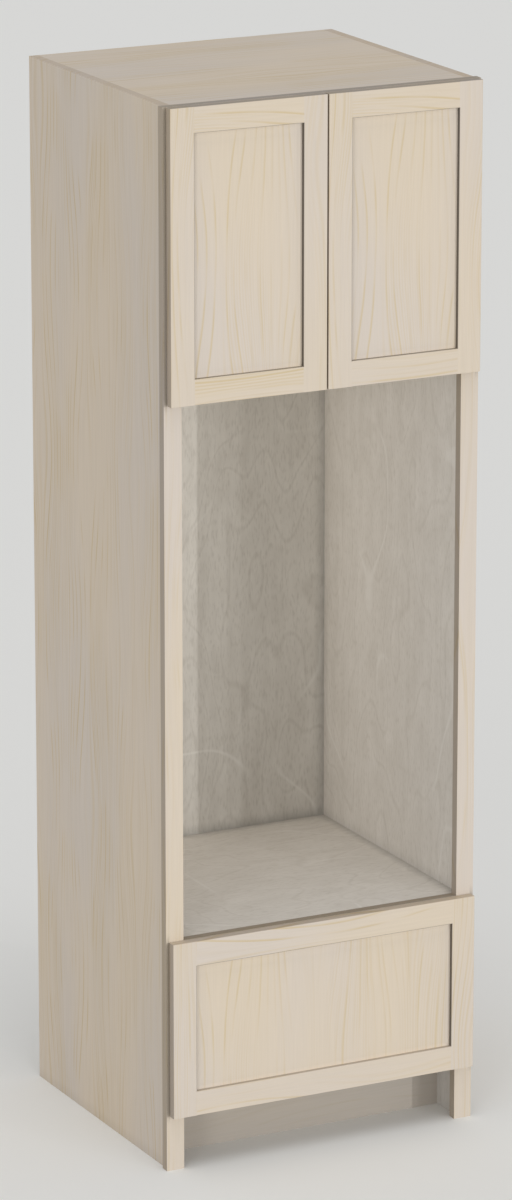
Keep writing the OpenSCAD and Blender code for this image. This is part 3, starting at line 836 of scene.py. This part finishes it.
    def dress(
        self, board: Board, finish: BoardFinish | VeneerFinish, rows: Rows, colour: str
    ) -> None:
        """Dresses a board.

        Args:
            board: The board.
            finish: Its wood or veneer.
            rows: The rows of its colour.
            colour: The name that they end in.
        """
        surface = {"Base Color": colour, "Roughness": finish.roughness} | WOOD_SHEEN
        material = make_material(f"{finish.name}.{board.node}", board.rows() | rows, surface)
        set_material(board.node, material)

    def solid(self, board: Board, finish: BoardFinish, crease_shade: CreaseShade | None = None) -> None:
        """Dresses a board of solid wood.

        Args:
            board: The board.
            finish: The wood.
            crease_shade: The painted shade in its creases, if any.
        """
        rows = self.wood_rows(finish)
        if crease_shade:
            rows |= self.crease_shade_rows("shaded", crease_shade)
        self.dress(board, finish, rows, "dusty" if crease_shade else "shaded")

    def framing(self, board: Board, inward: Vector, opening: Box, finish: BoardFinish) -> None:
        """Dresses a stile or rail around a panel, with painted shade on its inner edge and a
        painted shade line on its eased corner.

        Args:
            board: The board.
            inward: The direction that its inner edge looks.
            opening: The lowest and highest corner of the opening that it bounds.
            finish: The wood.
        """
        inner = finish.ledge if inward.z else finish.recess
        arris = finish.sill_arris if inward.z > 0 else finish.arris
        corner = (self.arris_width, self.arris_width + self.arris_soft)
        rows = self.wood_rows(finish) | facing_rows("inner", inward) | self.rim_rows(opening)
        rows |= {
            # Painted shade: the inner edge darkens as the recess's shade, and the eased corner
            # gets a thin dark line
            "dusk": (RANGE, "inner", 0.0, 1.0, 1.0, inner),
            "eased": (SOFT_RANGE, "rim", *corner, arris),
            "kept": (TIMES, "dusk", "eased"),
            "framed": (SCALED, "shaded", "kept"),
        }
        self.dress(board, finish, rows, "framed")

    def panel(self, board: Board, opening: Box) -> None:
        """Dresses a panel: a painted shadow line where it enters its groove, and a margin painted
        paler against the recess's shade.

        Args:
            board: The panel.
            opening: The lowest and highest corner of the opening in its frame.
        """
        groove = (-self.border - self.border_soft, -self.border)
        rows = self.wood_rows(MAPLE) | self.rim_rows(opening)
        rows |= {
            # Painted shadow at the groove, and painted light on the margin beside the frame and
            # under the top rail
            "dusk": (SOFT_RANGE, "rim", *groove, 1.0, self.border_shade),
            "beside": (RANGE, "rim", -self.margin, 0.0, 1.0, self.margin_painted_light),
            "at": (SPLIT, "coords:Object"),
            "top": (MINUS, "at:Z", opening[1].z),
            "under": (RANGE, "top", -self.top_margin, 0.0, 1.0, self.margin_painted_light),
            "margin": (LARGER, "beside", "under"),
            "kept": (TIMES, "margin", "dusk"),
            "framed": (SCALED, "shaded", "kept"),
        }
        self.dress(board, MAPLE, rows, "framed")

    def veneered(
        self,
        board: Board,
        show: Vector | None = None,
        inner: VeneerFinish = INTERIOR,
        drift: Vector = Vector(),
    ) -> None:
        """Dresses a veneered board: maple on its show face and its edges, peeled veneer inside,
        with painted shade in its creases.

        Args:
            board: The board.
            show: The direction of the show face, if it has one.
            inner: The peeled veneer.
            drift: How much painted light lightens the peeled veneer along each axis, as a share
                per metre.
        """
        rows = self.peel_rows(inner, middle_of(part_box(board.node)), drift)
        if show is None:
            rows |= self.edge_rows("toned", inner.edge, inner.edge)
            # Painted shade in the creases of the bay
            rows |= self.crease_shade_rows("shaded", CORNER_CREASE_SHADE)
        else:
            rows |= self.wood_rows(MAPLE_FACE) | facing_rows("inner", -show)
            rows["both"] = (MIX, "inner", "shaded", "toned")
            # Fainter painted shade in the creases of the bay's sides
            rows |= self.crease_shade_rows("both", WALL_CREASE_SHADE)
        self.dress(board, inner, rows, "dusty")


@dataclass(frozen=True)
class MetalFinish:
    """Plated steel: a bright metal whose plating scatters the light a little unevenly.

    Attributes:
        name: What the metal is.
        colour: Its colour.
        bright: Its colour where the plating is thickest.
        roughness: Its mean roughness.
        unevenness: How far the roughness varies.
        grit: Cycles per metre of the unevenness.
    """

    name: str
    colour: str
    bright: str
    roughness: float
    unevenness: float = 0.08
    grit: float = 2400.0

    def material(self) -> bpy.types.Material:
        """Makes the material.

        Returns:
            The material.
        """
        smoothest = self.roughness - self.unevenness / 2
        rows: Rows = {
            "coords": (COORDS,),
            "grit": (NOISE, "coords:Object", {"Scale": self.grit, "Detail": 2.0}),
            "rough": (TIMES_PLUS, "grit", self.unevenness, smoothest),
            "tint": (MIX, "grit", linear(self.colour), linear(self.bright)),
        }
        surface = {"Base Color": "tint", "Metallic": 1.0, "Roughness": "rough"}
        return make_material(self.name, rows, surface)


@dataclass(frozen=True)
class RubberFinish:
    """Soft clear plastic, moulded: milky, a little glossy, and cloudy deep inside.

    Attributes:
        name: What the material is.
        colour: Its colour where it is clear.
        cloud: Its colour where it is cloudy.
        cloudiness: Cycles per metre of the clouds.
        roughness: Roughness of its skin.
        clearness: The share of light that passes through.
        ior: Its index of refraction.
    """

    name: str = "clear_bumper_polyurethane"
    colour: str = "DADEDE"
    cloud: str = "EEF0F0"
    cloudiness: float = 400.0
    roughness: float = 0.3
    clearness: float = 0.35
    ior: float = 1.49

    def material(self) -> bpy.types.Material:
        """Makes the material.

        Returns:
            The material.
        """
        rows: Rows = {
            "coords": (COORDS,),
            "haze": (NOISE, "coords:Object", {"Scale": self.cloudiness}),
            "tint": (MIX, "haze", linear(self.colour), linear(self.cloud)),
        }
        surface = {"Base Color": "tint", "Roughness": self.roughness, "IOR": self.ior}
        return make_material(self.name, rows, surface | {"Transmission Weight": self.clearness})


# Zinc plating, blue-passivated: cool, bright and a little matt
ZINC = MetalFinish("zinc_plated_steel", "C6CACE", "D8DBDE", 0.34)
# Nickel plating: warmer and more mirror-like
NICKEL = MetalFinish("nickel_plated_steel", "D0CBC2", "DFDBD3", 0.26)


# ---- Small parts that repeat ----


@dataclass(frozen=True)
class ScrewSet:
    """Wood screws with a cross recess, made in one geometry node tree.

    Attributes:
        head: The shape of the head.
        head_d: Diameter of the head.
        head_h: Height of the head.
        crown_share: Radius of the head's flat top, as a share of its rim's.
        head_sides: Number of steps round the head.
        shank_d: Diameter of the shank.
        shank_sides: Number of steps round it.
        tip_h: Length of the point.
        tip_r: Radius of its blunt end.
        slot_w: Width of a wing of the cross.
        slot_l: Length of the cross from tip to tip.
        slot_h: Depth of the cross.
    """

    head: Head
    head_d: float
    head_h: float
    crown_share: float = 0.86
    head_sides: int = 28
    shank_d: float = 3.5 * MM
    shank_sides: int = 16
    tip_h: float = 2.5 * MM
    tip_r: float = 0.3 * MM
    slot_w: float = 0.8 * MM
    slot_l: float = 3.0 * MM
    slot_h: float = 1.2 * MM

    def values(self, length: float, finish: bpy.types.Material) -> dict[str, Any]:
        """What the inputs of the node tree take.

        Args:
            length: Length from the top of the head to the point.
            finish: The material.
        Returns:
            The value of each named input.
        """
        crown_share, back_share = self.head.value
        rim, crown_h = self.head_d / 2, self.head_h * crown_share
        return {
            "Rim radius": rim,
            "Crown radius": rim * self.crown_share,
            "Crown height": crown_h,
            "Back radius": rim * back_share,
            "Back height": self.head_h - crown_h,
            "Shank radius": self.shank_d / 2,
            "Shank length": length - self.head_h - self.tip_h,
            "Tip radius": self.tip_r,
            "Tip height": self.tip_h,
            "Cross": (self.slot_l, self.slot_w, 2 * self.slot_h),
            "Finish": finish,
        }

    def tree(self, sizes: list[str]) -> Tree:
        """Builds the tree, in which a screw's head looks along +Z from the origin.

        Args:
            sizes: The names of the inputs that take one number.
        Returns:
            A geometry node tree that sets a screw on each point, along its drive attribute.
        """
        takes = {"Geometry": "Geometry"} | dict.fromkeys(sizes, "Float")
        takes |= {"Cross": "Vector", "Finish": "Material"}
        tree = new_group("wood_screws", "Geometry", takes, {"Geometry": "Geometry"})
        # From the top down: steps round, radius above, radius below, and height
        cones = {
            "crown": (self.head_sides, "in:Crown radius", "in:Rim radius", "in:Crown height"),
            "back": (self.head_sides, "in:Rim radius", "in:Back radius", "in:Back height"),
            "shank": (self.shank_sides, "in:Shank radius", "in:Shank radius", "in:Shank length"),
            "tip": (self.shank_sides, "in:Shank radius", "in:Tip radius", "in:Tip height"),
        }
        rows: Rows = {"in": (GROUP_INPUT,)}
        foot: float | str = 0.0
        for name, (sides, above, below, height) in cones.items():
            radii = {"Radius Top": above, "Radius Bottom": below}
            rows |= {
                f"low_{name}": (MINUS, foot, height),
                f"at_{name}": (("ShaderNodeCombineXYZ", {}), {"Z": f"low_{name}"}),
                name: (CONE, {"Vertices": sides, "Depth": height} | radii),
                f"{name}_placed": (MOVE, {"Geometry": name, "Translation": f"at_{name}"}),
            }
            foot = f"low_{name}"
        drive = ("GeometryNodeInputNamedAttribute", {"data_type": "FLOAT_VECTOR"})
        rows |= {
            "body": (UNION, [f"{name}_placed" for name in cones]),
            # A cross of two bars that stands half above the head
            "bar": (("GeometryNodeMeshCube", {}), {"Size": "in:Cross"}),
            "bar_turned": (MOVE, {"Geometry": "bar", "Rotation": (0.0, 0.0, math.pi / 2)}),
            "crossed": (CARVE, "body", ["bar", "bar_turned"]),
            "facing": (drive, {"Name": "drive"}),
            "aligned": (
                ("FunctionNodeAlignRotationToVector", {"axis": "Z"}),
                {"Vector": "facing"},
            ),
            "set": (
                ("GeometryNodeInstanceOnPoints", {}),
                {"Points": "in:Geometry", "Instance": "crossed", "Rotation": "aligned"},
            ),
            "real": (("GeometryNodeRealizeInstances", {}), "set"),
            "coated": (
                ("GeometryNodeSetMaterial", {}),
                {"Geometry": "real", "Material": "in:Finish"},
            ),
            "out": (GROUP_OUTPUT, "coated"),
        }
        add_rows(tree, rows)
        return tree

    def build(
        self, name: str, heads: list[Vector], drives: list[Vector], length: float, finish: Any
    ) -> bpy.types.Object:
        """Makes one plain mesh of screws.

        Args:
            name: The piece's name.
            heads: The middle of each head's top.
            drives: The direction that each head looks.
            length: Length from the top of the head to the point.
            finish: The material.
        Returns:
            The new object, at the origin, with its place in its mesh.
        """
        mesh = bpy.data.meshes.new(f"{name}_points")
        mesh.from_pydata([tuple(p) for p in heads], [], [])
        drive = mesh.attributes.new("drive", "FLOAT_VECTOR", "POINT")
        drive.data.foreach_set("vector", [c for d in drives for c in d])
        points = add_object(f"{name}_points", mesh)
        values = self.values(length, finish)
        modifier = points.modifiers.new("screws", "NODES")
        modifier.node_group = self.tree([n for n, v in values.items() if isinstance(v, float)])
        for item in modifier.node_group.interface.items_tree:
            if item.in_out == "INPUT" and item.name in values:
                modifier[item.identifier] = values[item.name]
        depsgraph = bpy.context.evaluated_depsgraph_get()
        made = bpy.data.meshes.new_from_object(points.evaluated_get(depsgraph))
        made.name = name
        bpy.data.objects.remove(points)
        return add_object(name, made)


def dress_screws(
    node: str, body: str, look: Vector, kind: ScrewSet, finish: bpy.types.Material
) -> None:
    """Puts detailed screws in the place of a CAD node's plain ones.

    Args:
        node: The CAD node of the screws.
        body: The body that they ride on.
        look: The direction that their heads look: for x, the sign is for the right side, and
            the left side mirrors it.
        kind: The screws.
        finish: Their material.
    """
    heads, drives, length = [], [], 0.0
    for low, high in solids_of(node):
        size, middle = high - low, (low + high) / 2
        along = max(range(3), key=lambda i: size[i])
        if (along == 0) != (abs(look.x) > 0):
            continue
        sign = math.copysign(1.0, middle.x) * look.x if along == 0 else look.y
        drive = Vector([sign if i == along else 0.0 for i in range(3)])
        heads.append(middle + drive * size[along] / 2)
        drives.append(drive)
        length = size[along]
    name = f"{node}_{'x' if look.x else 'y'}"
    piece = kind.build(name, heads, drives, length, finish)
    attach(piece, body)
    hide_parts(node)
    log.info("made %s: %d screws of %.1f mm", name, len(heads), length / MM)


@dataclass(frozen=True)
class Bumper:
    """A small soft stop, moulded as a dome with a flat back.

    Attributes:
        profile: Shares of the radius and of the thickness, from the rim to the top.
        steps: Number of steps round.
    """

    profile: tuple[tuple[float, float], ...] = (
        (1.0, 0.0),
        (1.0, 0.3),
        (0.94, 0.62),
        (0.8, 0.86),
        (0.58, 0.97),
        (0.3, 1.0),
    )
    steps: int = 24

    def build(self, node: str, body: str, material: bpy.types.Material) -> None:
        """Puts domes in the place of a CAD node's plain discs.

        Args:
            node: The CAD node of the bumpers, whose backs lie on the door, at low y.
            body: The body that they ride on.
            material: Their material.
        """
        shape = bmesh.new()
        for low, high in solids_of(node):
            middle = (low + high) / 2
            radius, thick = (high.x - low.x) / 2, high.y - low.y
            loops = []
            for share, rise in self.profile:
                loop = []
                for step in range(self.steps):
                    turn = math.tau * step / self.steps
                    x = middle.x + radius * share * math.cos(turn)
                    z = middle.z + radius * share * math.sin(turn)
                    loop.append(shape.verts.new((x, low.y + thick * rise, z)))
                loops.append(loop)
            for outer, inner in zip(loops, loops[1:]):
                for a in range(self.steps):
                    b = (a + 1) % self.steps
                    shape.faces.new((outer[a], inner[a], inner[b], outer[b]))
            shape.faces.new(loops[0])
            shape.faces.new(list(reversed(loops[-1])))
        bmesh.ops.recalc_face_normals(shape, faces=shape.faces)
        mesh = bpy.data.meshes.new(f"{node}_domes")
        shape.to_mesh(mesh)
        shape.free()
        mesh.materials.append(material)
        mesh.polygons.foreach_set("use_smooth", [len(p.vertices) == 4 for p in mesh.polygons])
        piece = add_object(f"{node}_domes", mesh)
        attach(piece, body)
        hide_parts(node)
        log.info("made %s", piece.name)


# ---- Studio ----

# Matt paper
PAPER_SHEEN = {"Roughness": 0.95, "Specular IOR Level": 0.1}
# Whether a ray sees or mirrors what it meets, or passes through something clear
SEEN: Rows = {
    "path": (("ShaderNodeLightPath", {}),),
    "clear": (LARGER, "path:Is Camera Ray", "path:Is Glossy Ray"),
    "seen": (LARGER, "clear", "path:Is Transmission Ray"),
}


@dataclass(frozen=True)
class Lamp:
    """A distant lamp.

    Attributes:
        name: Its name.
        level: The share of full exposure that it gives a surface that faces it.
        spread: Its width in the sky, in degrees.
        heading: Degrees from the front towards the right that it stands at.
        height: Degrees above the horizon.
    """

    name: str
    level: float
    spread: float
    heading: float
    height: float


@dataclass(frozen=True)
class Studio:
    """The pale floor, the soft light and the camera.

    Attributes:
        camera_place: Where the camera stands.
        camera_heading: Degrees from +Y towards +X.
        camera_tilt: Degrees below the horizon.
        lens: Focal length in millimetres, for a sensor whose long side is 36 mm.
        far: How far the camera sees.
        sky: Share of full exposure that the even sky gives.
        backdrop: How bright the camera sees it: as bright as the floor, so no horizon shows.
        paper: Colour of the floor where it throws light on the object.
        paper_seen: Its colour where it is seen.
        lamps: Soft ones from above, side and front, and three narrow ones from the right.
        floor_radius: Radius of the floor.
        floor_steps: Number of its corners.
    """

    camera_place: tuple[float, float, float] = (-5.12744, -10.06854, 4.19596)
    camera_heading: float = 27.0104
    camera_tilt: float = 15.5283
    lens: float = 176.05
    far: float = 200.0
    sky: float = 0.535
    backdrop: float = 0.69
    paper: str = "D8D8D6"
    paper_seen: str = "F4F4F2"
    lamps: tuple[Lamp, ...] = (
        Lamp("soft_top", 0.16, 30.0, -20.0, 75.0),
        Lamp("soft_side", 0.045, 24.0, -80.0, 8.0),
        Lamp("soft_left", 0.17, 16.0, -47.0, 7.0),
        Lamp("soft_front", 0.07, 30.0, 0.0, 12.0),
        Lamp("key_outer", 0.175, 0.6, 25.2, 4.0),
        Lamp("key_middle", 0.035, 0.6, 19.8, 4.0),
        Lamp("key_inner", 0.045, 0.6, 16.8, 4.0),
    )
    floor_radius: float = 60.0
    floor_steps: int = 64

    def build(self) -> None:
        """Makes the camera, the floor and the lights."""
        self.build_camera()
        self.build_floor()
        self.build_sky()
        for lamp in self.lamps:
            data = bpy.data.lights.new(lamp.name, "SUN")
            data.energy = lamp.level * math.pi
            data.angle = math.radians(lamp.spread)
            tilt, heading = math.radians(90 - lamp.height), math.radians(lamp.heading)
            add_object(lamp.name, data).rotation_euler = (tilt, 0.0, heading)
        bpy.context.scene.view_settings.view_transform = "Standard"

    def build_camera(self) -> None:
        """Makes the camera at the photograph's viewing angle."""
        data = bpy.data.cameras.new("camera")
        data.lens = self.lens
        data.clip_end = self.far
        camera = add_object("camera", data)
        camera.location = self.camera_place
        tilt = math.radians(90 - self.camera_tilt)
        camera.rotation_euler = (tilt, 0.0, math.radians(-self.camera_heading))
        bpy.context.scene.camera = camera

    def build_floor(self) -> None:
        """Makes the floor: a plain matt sheet of paper, which is seen nearly white."""
        lit, seen = linear(self.paper), linear(self.paper_seen)
        rows = SEEN | {"paper": (MIX, "seen", lit, seen)}
        surface = {"Base Color": "paper"} | PAPER_SHEEN
        material = make_material("matt_paper_floor", rows, surface)
        turns = [math.tau * i / self.floor_steps for i in range(self.floor_steps)]
        radius = self.floor_radius
        corners = [(radius * math.cos(t), radius * math.sin(t), 0.0) for t in turns]
        mesh = bpy.data.meshes.new("floor")
        mesh.from_pydata(corners, [], [list(range(self.floor_steps))])
        mesh.materials.append(material)
        floor = add_object("floor", mesh)

    def build_sky(self) -> None:
        """Makes an even sky, which the camera and what mirrors it see as pale as the floor."""
        world = bpy.data.worlds.new("studio")
        bpy.context.scene.world = world
        world.use_nodes = True
        world.node_tree.nodes.clear()
        rows: Rows = {
            "strength": (RANGE, "seen", 0.0, 1.0, self.sky, self.backdrop),
            "sky": (("ShaderNodeBackground", {}), WHITE, "strength"),
            "out": (("ShaderNodeOutputWorld", {}), "sky"),
        }
        add_rows(world.node_tree, SEEN | rows)


# ---- Sub-assemblies ----


@dataclass
class Carcass:
    """Side panels, decks, top, back and base boards.

    Attributes:
        shop: Where the boards are dressed.
        decks: The level boards inside, from the top down, each with its place in the log and
            how much painted light lightens it towards the back, as a share per metre.
        side_painted_light: How much painted light lightens the sides' inner faces along each
            axis.
        back_painted_light: The same for the back panel.
    """

    shop: WoodShop
    decks: tuple[tuple[str, float, float], ...] = (
        ("upper_deck", 1.3, 0.0),
        ("cupboard_shelf", 2.0, 0.0),
        ("oven_deck", 2.7, 0.4),
        ("cabinet_floor", 3.4, 0.0),
    )
    side_painted_light: tuple[float, float, float] = (0.0, 0.4, 0.16)
    back_painted_light: tuple[float, float, float] = (0.0, 0.0, 0.18)

    def dress(self) -> None:
        """Dresses the boards."""
        places = {Side.LEFT: (0.044, 0.0, 0.057), Side.RIGHT: (0.35, 0.3, 0.25)}
        for side, place in places.items():
            name = side.name.lower()
            look, drift = Vector((side.value, 0, 0)), Vector(self.side_painted_light)
            panel = Board(f"side_panel_{name}", Axis.Z, Axis.X, place)
            self.shop.veneered(panel, look, drift=drift)
            block = sideways(f"runner_block_{name}", 0.4, 0.1 * side.value, 1.0)
            self.shop.solid(block, BIRCH)
        self.shop.veneered(flat("top_panel", 0.86, 0.2, 0.3), Axis.Z.value)
        # Painted light lightens the oven deck towards the back
        for node, place, lighter in self.decks:
            self.shop.veneered(flat(node, place, 0.2, place), drift=Vector((0.0, lighter, 0.0)))
        # Painted light lightens the back panel towards the top
        back, drift = upright("back_panel", 2.1, 0.5, 0.7), Vector(self.back_painted_light)
        self.shop.veneered(back, inner=BACK_VENEER, drift=drift)
        self.shop.solid(level("toe_board", 0.5, 0.3, 2.0), TOE_SHADED_FACE)
        self.shop.solid(level("rear_base_rail", 0.8, 0.3, 2.6), BIRCH)
        self.shop.solid(sideways("deck_cleats", 0.2, 0.3, 3.0), BIRCH)


@dataclass
class FaceFrame:
    """Stiles and rails of the face frame, with the dowels in their joints.

    Attributes:
        shop: Where the boards are dressed.
        rails: The rails, from the top down.
    """

    shop: WoodShop
    rails: tuple[str, ...] = ("top", "middle", "oven", "bottom")

    def dress(self) -> None:
        """Dresses the boards."""
        for side in Side:
            name = f"frame_stile_{side.name.lower()}"
            stile = upright(name, 0.47 + 0.14 * side.value, 0.04, 0.3)
            # Painted shadow of the doors and the drawer front on the strip of stile outside them
            self.shop.solid(stile, QUIET_MAPLE, STRIP_PAINTED_SHADOW)
        for i, name in enumerate(self.rails):
            rail = level(f"frame_rail_{name}", 1.0 + 0.3 * i, 0.05, 0.2 * i)
            self.shop.solid(rail, QUIET_MAPLE)
        self.shop.solid(level("joint_dowels", 0.0, 0.0, 0.0), BEECH)


@dataclass
class Front:
    """A framed front: two stiles, two rails and a panel.

    Attributes:
        shop: Where the boards are dressed.
        left: The left stile.
        right: The right stile.
        top: The top rail.
        bottom: The bottom rail.
        panel: The panel.
        finish: The wood of the frame.
    """

    shop: WoodShop
    left: Board
    right: Board
    top: Board
    bottom: Board
    panel: Board
    finish: BoardFinish = DOOR_MAPLE

    def opening(self) -> Box:
        """The box that the frame leaves free for the panel."""
        boards = (self.left, self.right, self.top, self.bottom)
        left, right, top, bottom = (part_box(board.node) for board in boards)
        low = Vector((left[1].x, left[0].y, bottom[1].z))
        high = Vector((right[0].x, left[1].y, top[0].z))
        return low, high

    def dress(self) -> None:
        """Dresses the five boards."""
        inward = (
            (self.left, Axis.X.value),
            (self.right, -Axis.X.value),
            (self.top, -Axis.Z.value),
            (self.bottom, Axis.Z.value),
        )
        opening = self.opening()
        for board, look in inward:
            self.shop.framing(board, look, opening, self.finish)
        self.shop.panel(self.panel, opening)


@dataclass
class DrawerBox:
    """The dovetailed box with its bottom.

    Attributes:
        shop: Where the boards are dressed.
    """

    shop: WoodShop

    def dress(self) -> None:
        """Dresses the boards."""
        for side in Side:
            name = f"drawer_side_{side.name.lower()}"
            self.shop.solid(sideways(name, 0.5 + 0.2 * side.value, 0.1, 0.9), DRAWER_MAPLE)
        self.shop.solid(level("drawer_box_front", 0.2, 0.1, 1.4), DRAWER_MAPLE)
        self.shop.solid(level("drawer_box_back", 0.7, 0.1, 1.9), DRAWER_MAPLE)
        self.shop.veneered(flat("drawer_bottom", 4.2, 0.2, 0.3))


@dataclass
class Hardware:
    """Hinges, runners, pins, screws and bumpers.

    Attributes:
        zinc: The CAD nodes of zinc-plated steel.
        nickel: The CAD nodes of nickel-plated steel.
        rubber: The CAD nodes of the bumpers.
        flat: The countersunk screws of the hinges.
        runner: The screws of the runners, whose heads are nearly flush.
        drawer_runner: The screws of the runners' drawer members.
        front: The screws that hold the drawer's front.
    """

    zinc: tuple[str, ...] = (
        "runner_cabinet_left",
        "runner_cabinet_right",
        "runner_drawer_left",
        "runner_drawer_right",
        "runner_middle_left",
        "runner_middle_right",
        "hinge_plate_screws",
        "door_left_cup_screws",
        "door_right_cup_screws",
        "runner_block_screws",
        "drawer_screws",
        "shelf_pins",
    )
    nickel: tuple[str, ...] = (
        "hinge_arms",
        "door_left_cups",
        "door_right_cups",
        "ball_cages_outer",
        "ball_cages_inner",
    )
    rubber: tuple[tuple[str, str], ...] = (
        ("door_left_bumpers", "door_left"),
        ("door_right_bumpers", "door_right"),
        ("drawer_bumpers", "drawer"),
    )
    flat: ScrewSet = ScrewSet(Head.FLAT, 6.4 * MM, 1.45 * MM)
    runner: ScrewSet = ScrewSet(Head.PAN, 6.4 * MM, 0.75 * MM)
    drawer_runner: ScrewSet = ScrewSet(Head.PAN, 6.4 * MM, 2.0 * MM)
    front: ScrewSet = ScrewSet(Head.PAN, 9.0 * MM, 2.0 * MM)

    def dress(self) -> None:
        """Dresses the metal and the rubber."""
        zinc, nickel, rubber = ZINC.material(), NICKEL.material(), RubberFinish().material()
        for nodes, material in (
            (self.zinc, zinc),
            (self.nickel, nickel),
            ([node for node, _ in self.rubber], rubber),
        ):
            for node in nodes:
                set_material(node, material)
        for node, body in self.rubber:
            Bumper().build(node, body, rubber)
        inward, rear = -Axis.X.value, Axis.Y.value
        dress_screws("hinge_plate_screws", "cabinet", inward, self.flat, zinc)
        dress_screws("runner_block_screws", "cabinet", inward, self.runner, zinc)
        dress_screws("door_left_cup_screws", "door_left", rear, self.flat, zinc)
        dress_screws("door_right_cup_screws", "door_right", rear, self.flat, zinc)
        dress_screws("drawer_screws", "drawer", rear, self.front, zinc)
        dress_screws("drawer_screws", "drawer", Axis.X.value, self.drawer_runner, zinc)


def main() -> None:
    """Dresses the cabinet and sets up the studio."""
    logging.basicConfig(level=logging.INFO, format="%(name)s: %(message)s")
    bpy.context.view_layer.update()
    Studio().build()
    shop = WoodShop()
    Carcass(shop).dress()
    FaceFrame(shop).dress()
    # Both doors' panels come from one leaf, so they show the same waisted figure
    Front(
        shop,
        left=upright("door_left_hinge_stile", 0.150, 0.0, 0.35),
        right=upright("door_left_lock_stile", 0.19, 0.0, 0.2),
        top=level("door_left_top_rail", 0.020, 0.0, 0.12),
        bottom=level("door_left_bottom_rail", 0.85, 0.02, 0.0),
        panel=upright("door_left_panel", 0.0525, 0.0, 0.02),
    ).dress()
    Front(
        shop,
        left=upright("door_right_lock_stile", 0.155, 0.0, 0.40),
        right=upright("door_right_hinge_stile", 0.24, 0.0, 0.1),
        top=level("door_right_top_rail", 0.020, 0.0, 0.12),
        bottom=level("door_right_bottom_rail", 0.92, 0.02, 0.3),
        panel=upright("door_right_panel", 0.0455, 0.0, 0.02),
    ).dress()
    Front(
        shop,
        left=upright("drawer_front_stile_left", 0.31, 0.03, 0.8),
        right=upright("drawer_front_stile_right", 0.37, 0.03, 1.2),
        top=level("drawer_front_top_rail", -0.015, 0.0, 0.0),
        bottom=level("drawer_front_bottom_rail", 0.65, 0.02, 0.9),
        panel=upright("drawer_front_panel", 0.2308, 0.0, 0.115),
        finish=DRAWER_FRAME,
    ).dress()
    DrawerBox(shop).dress()
    Hardware().dress()


if __name__ == "__main__":
    main()
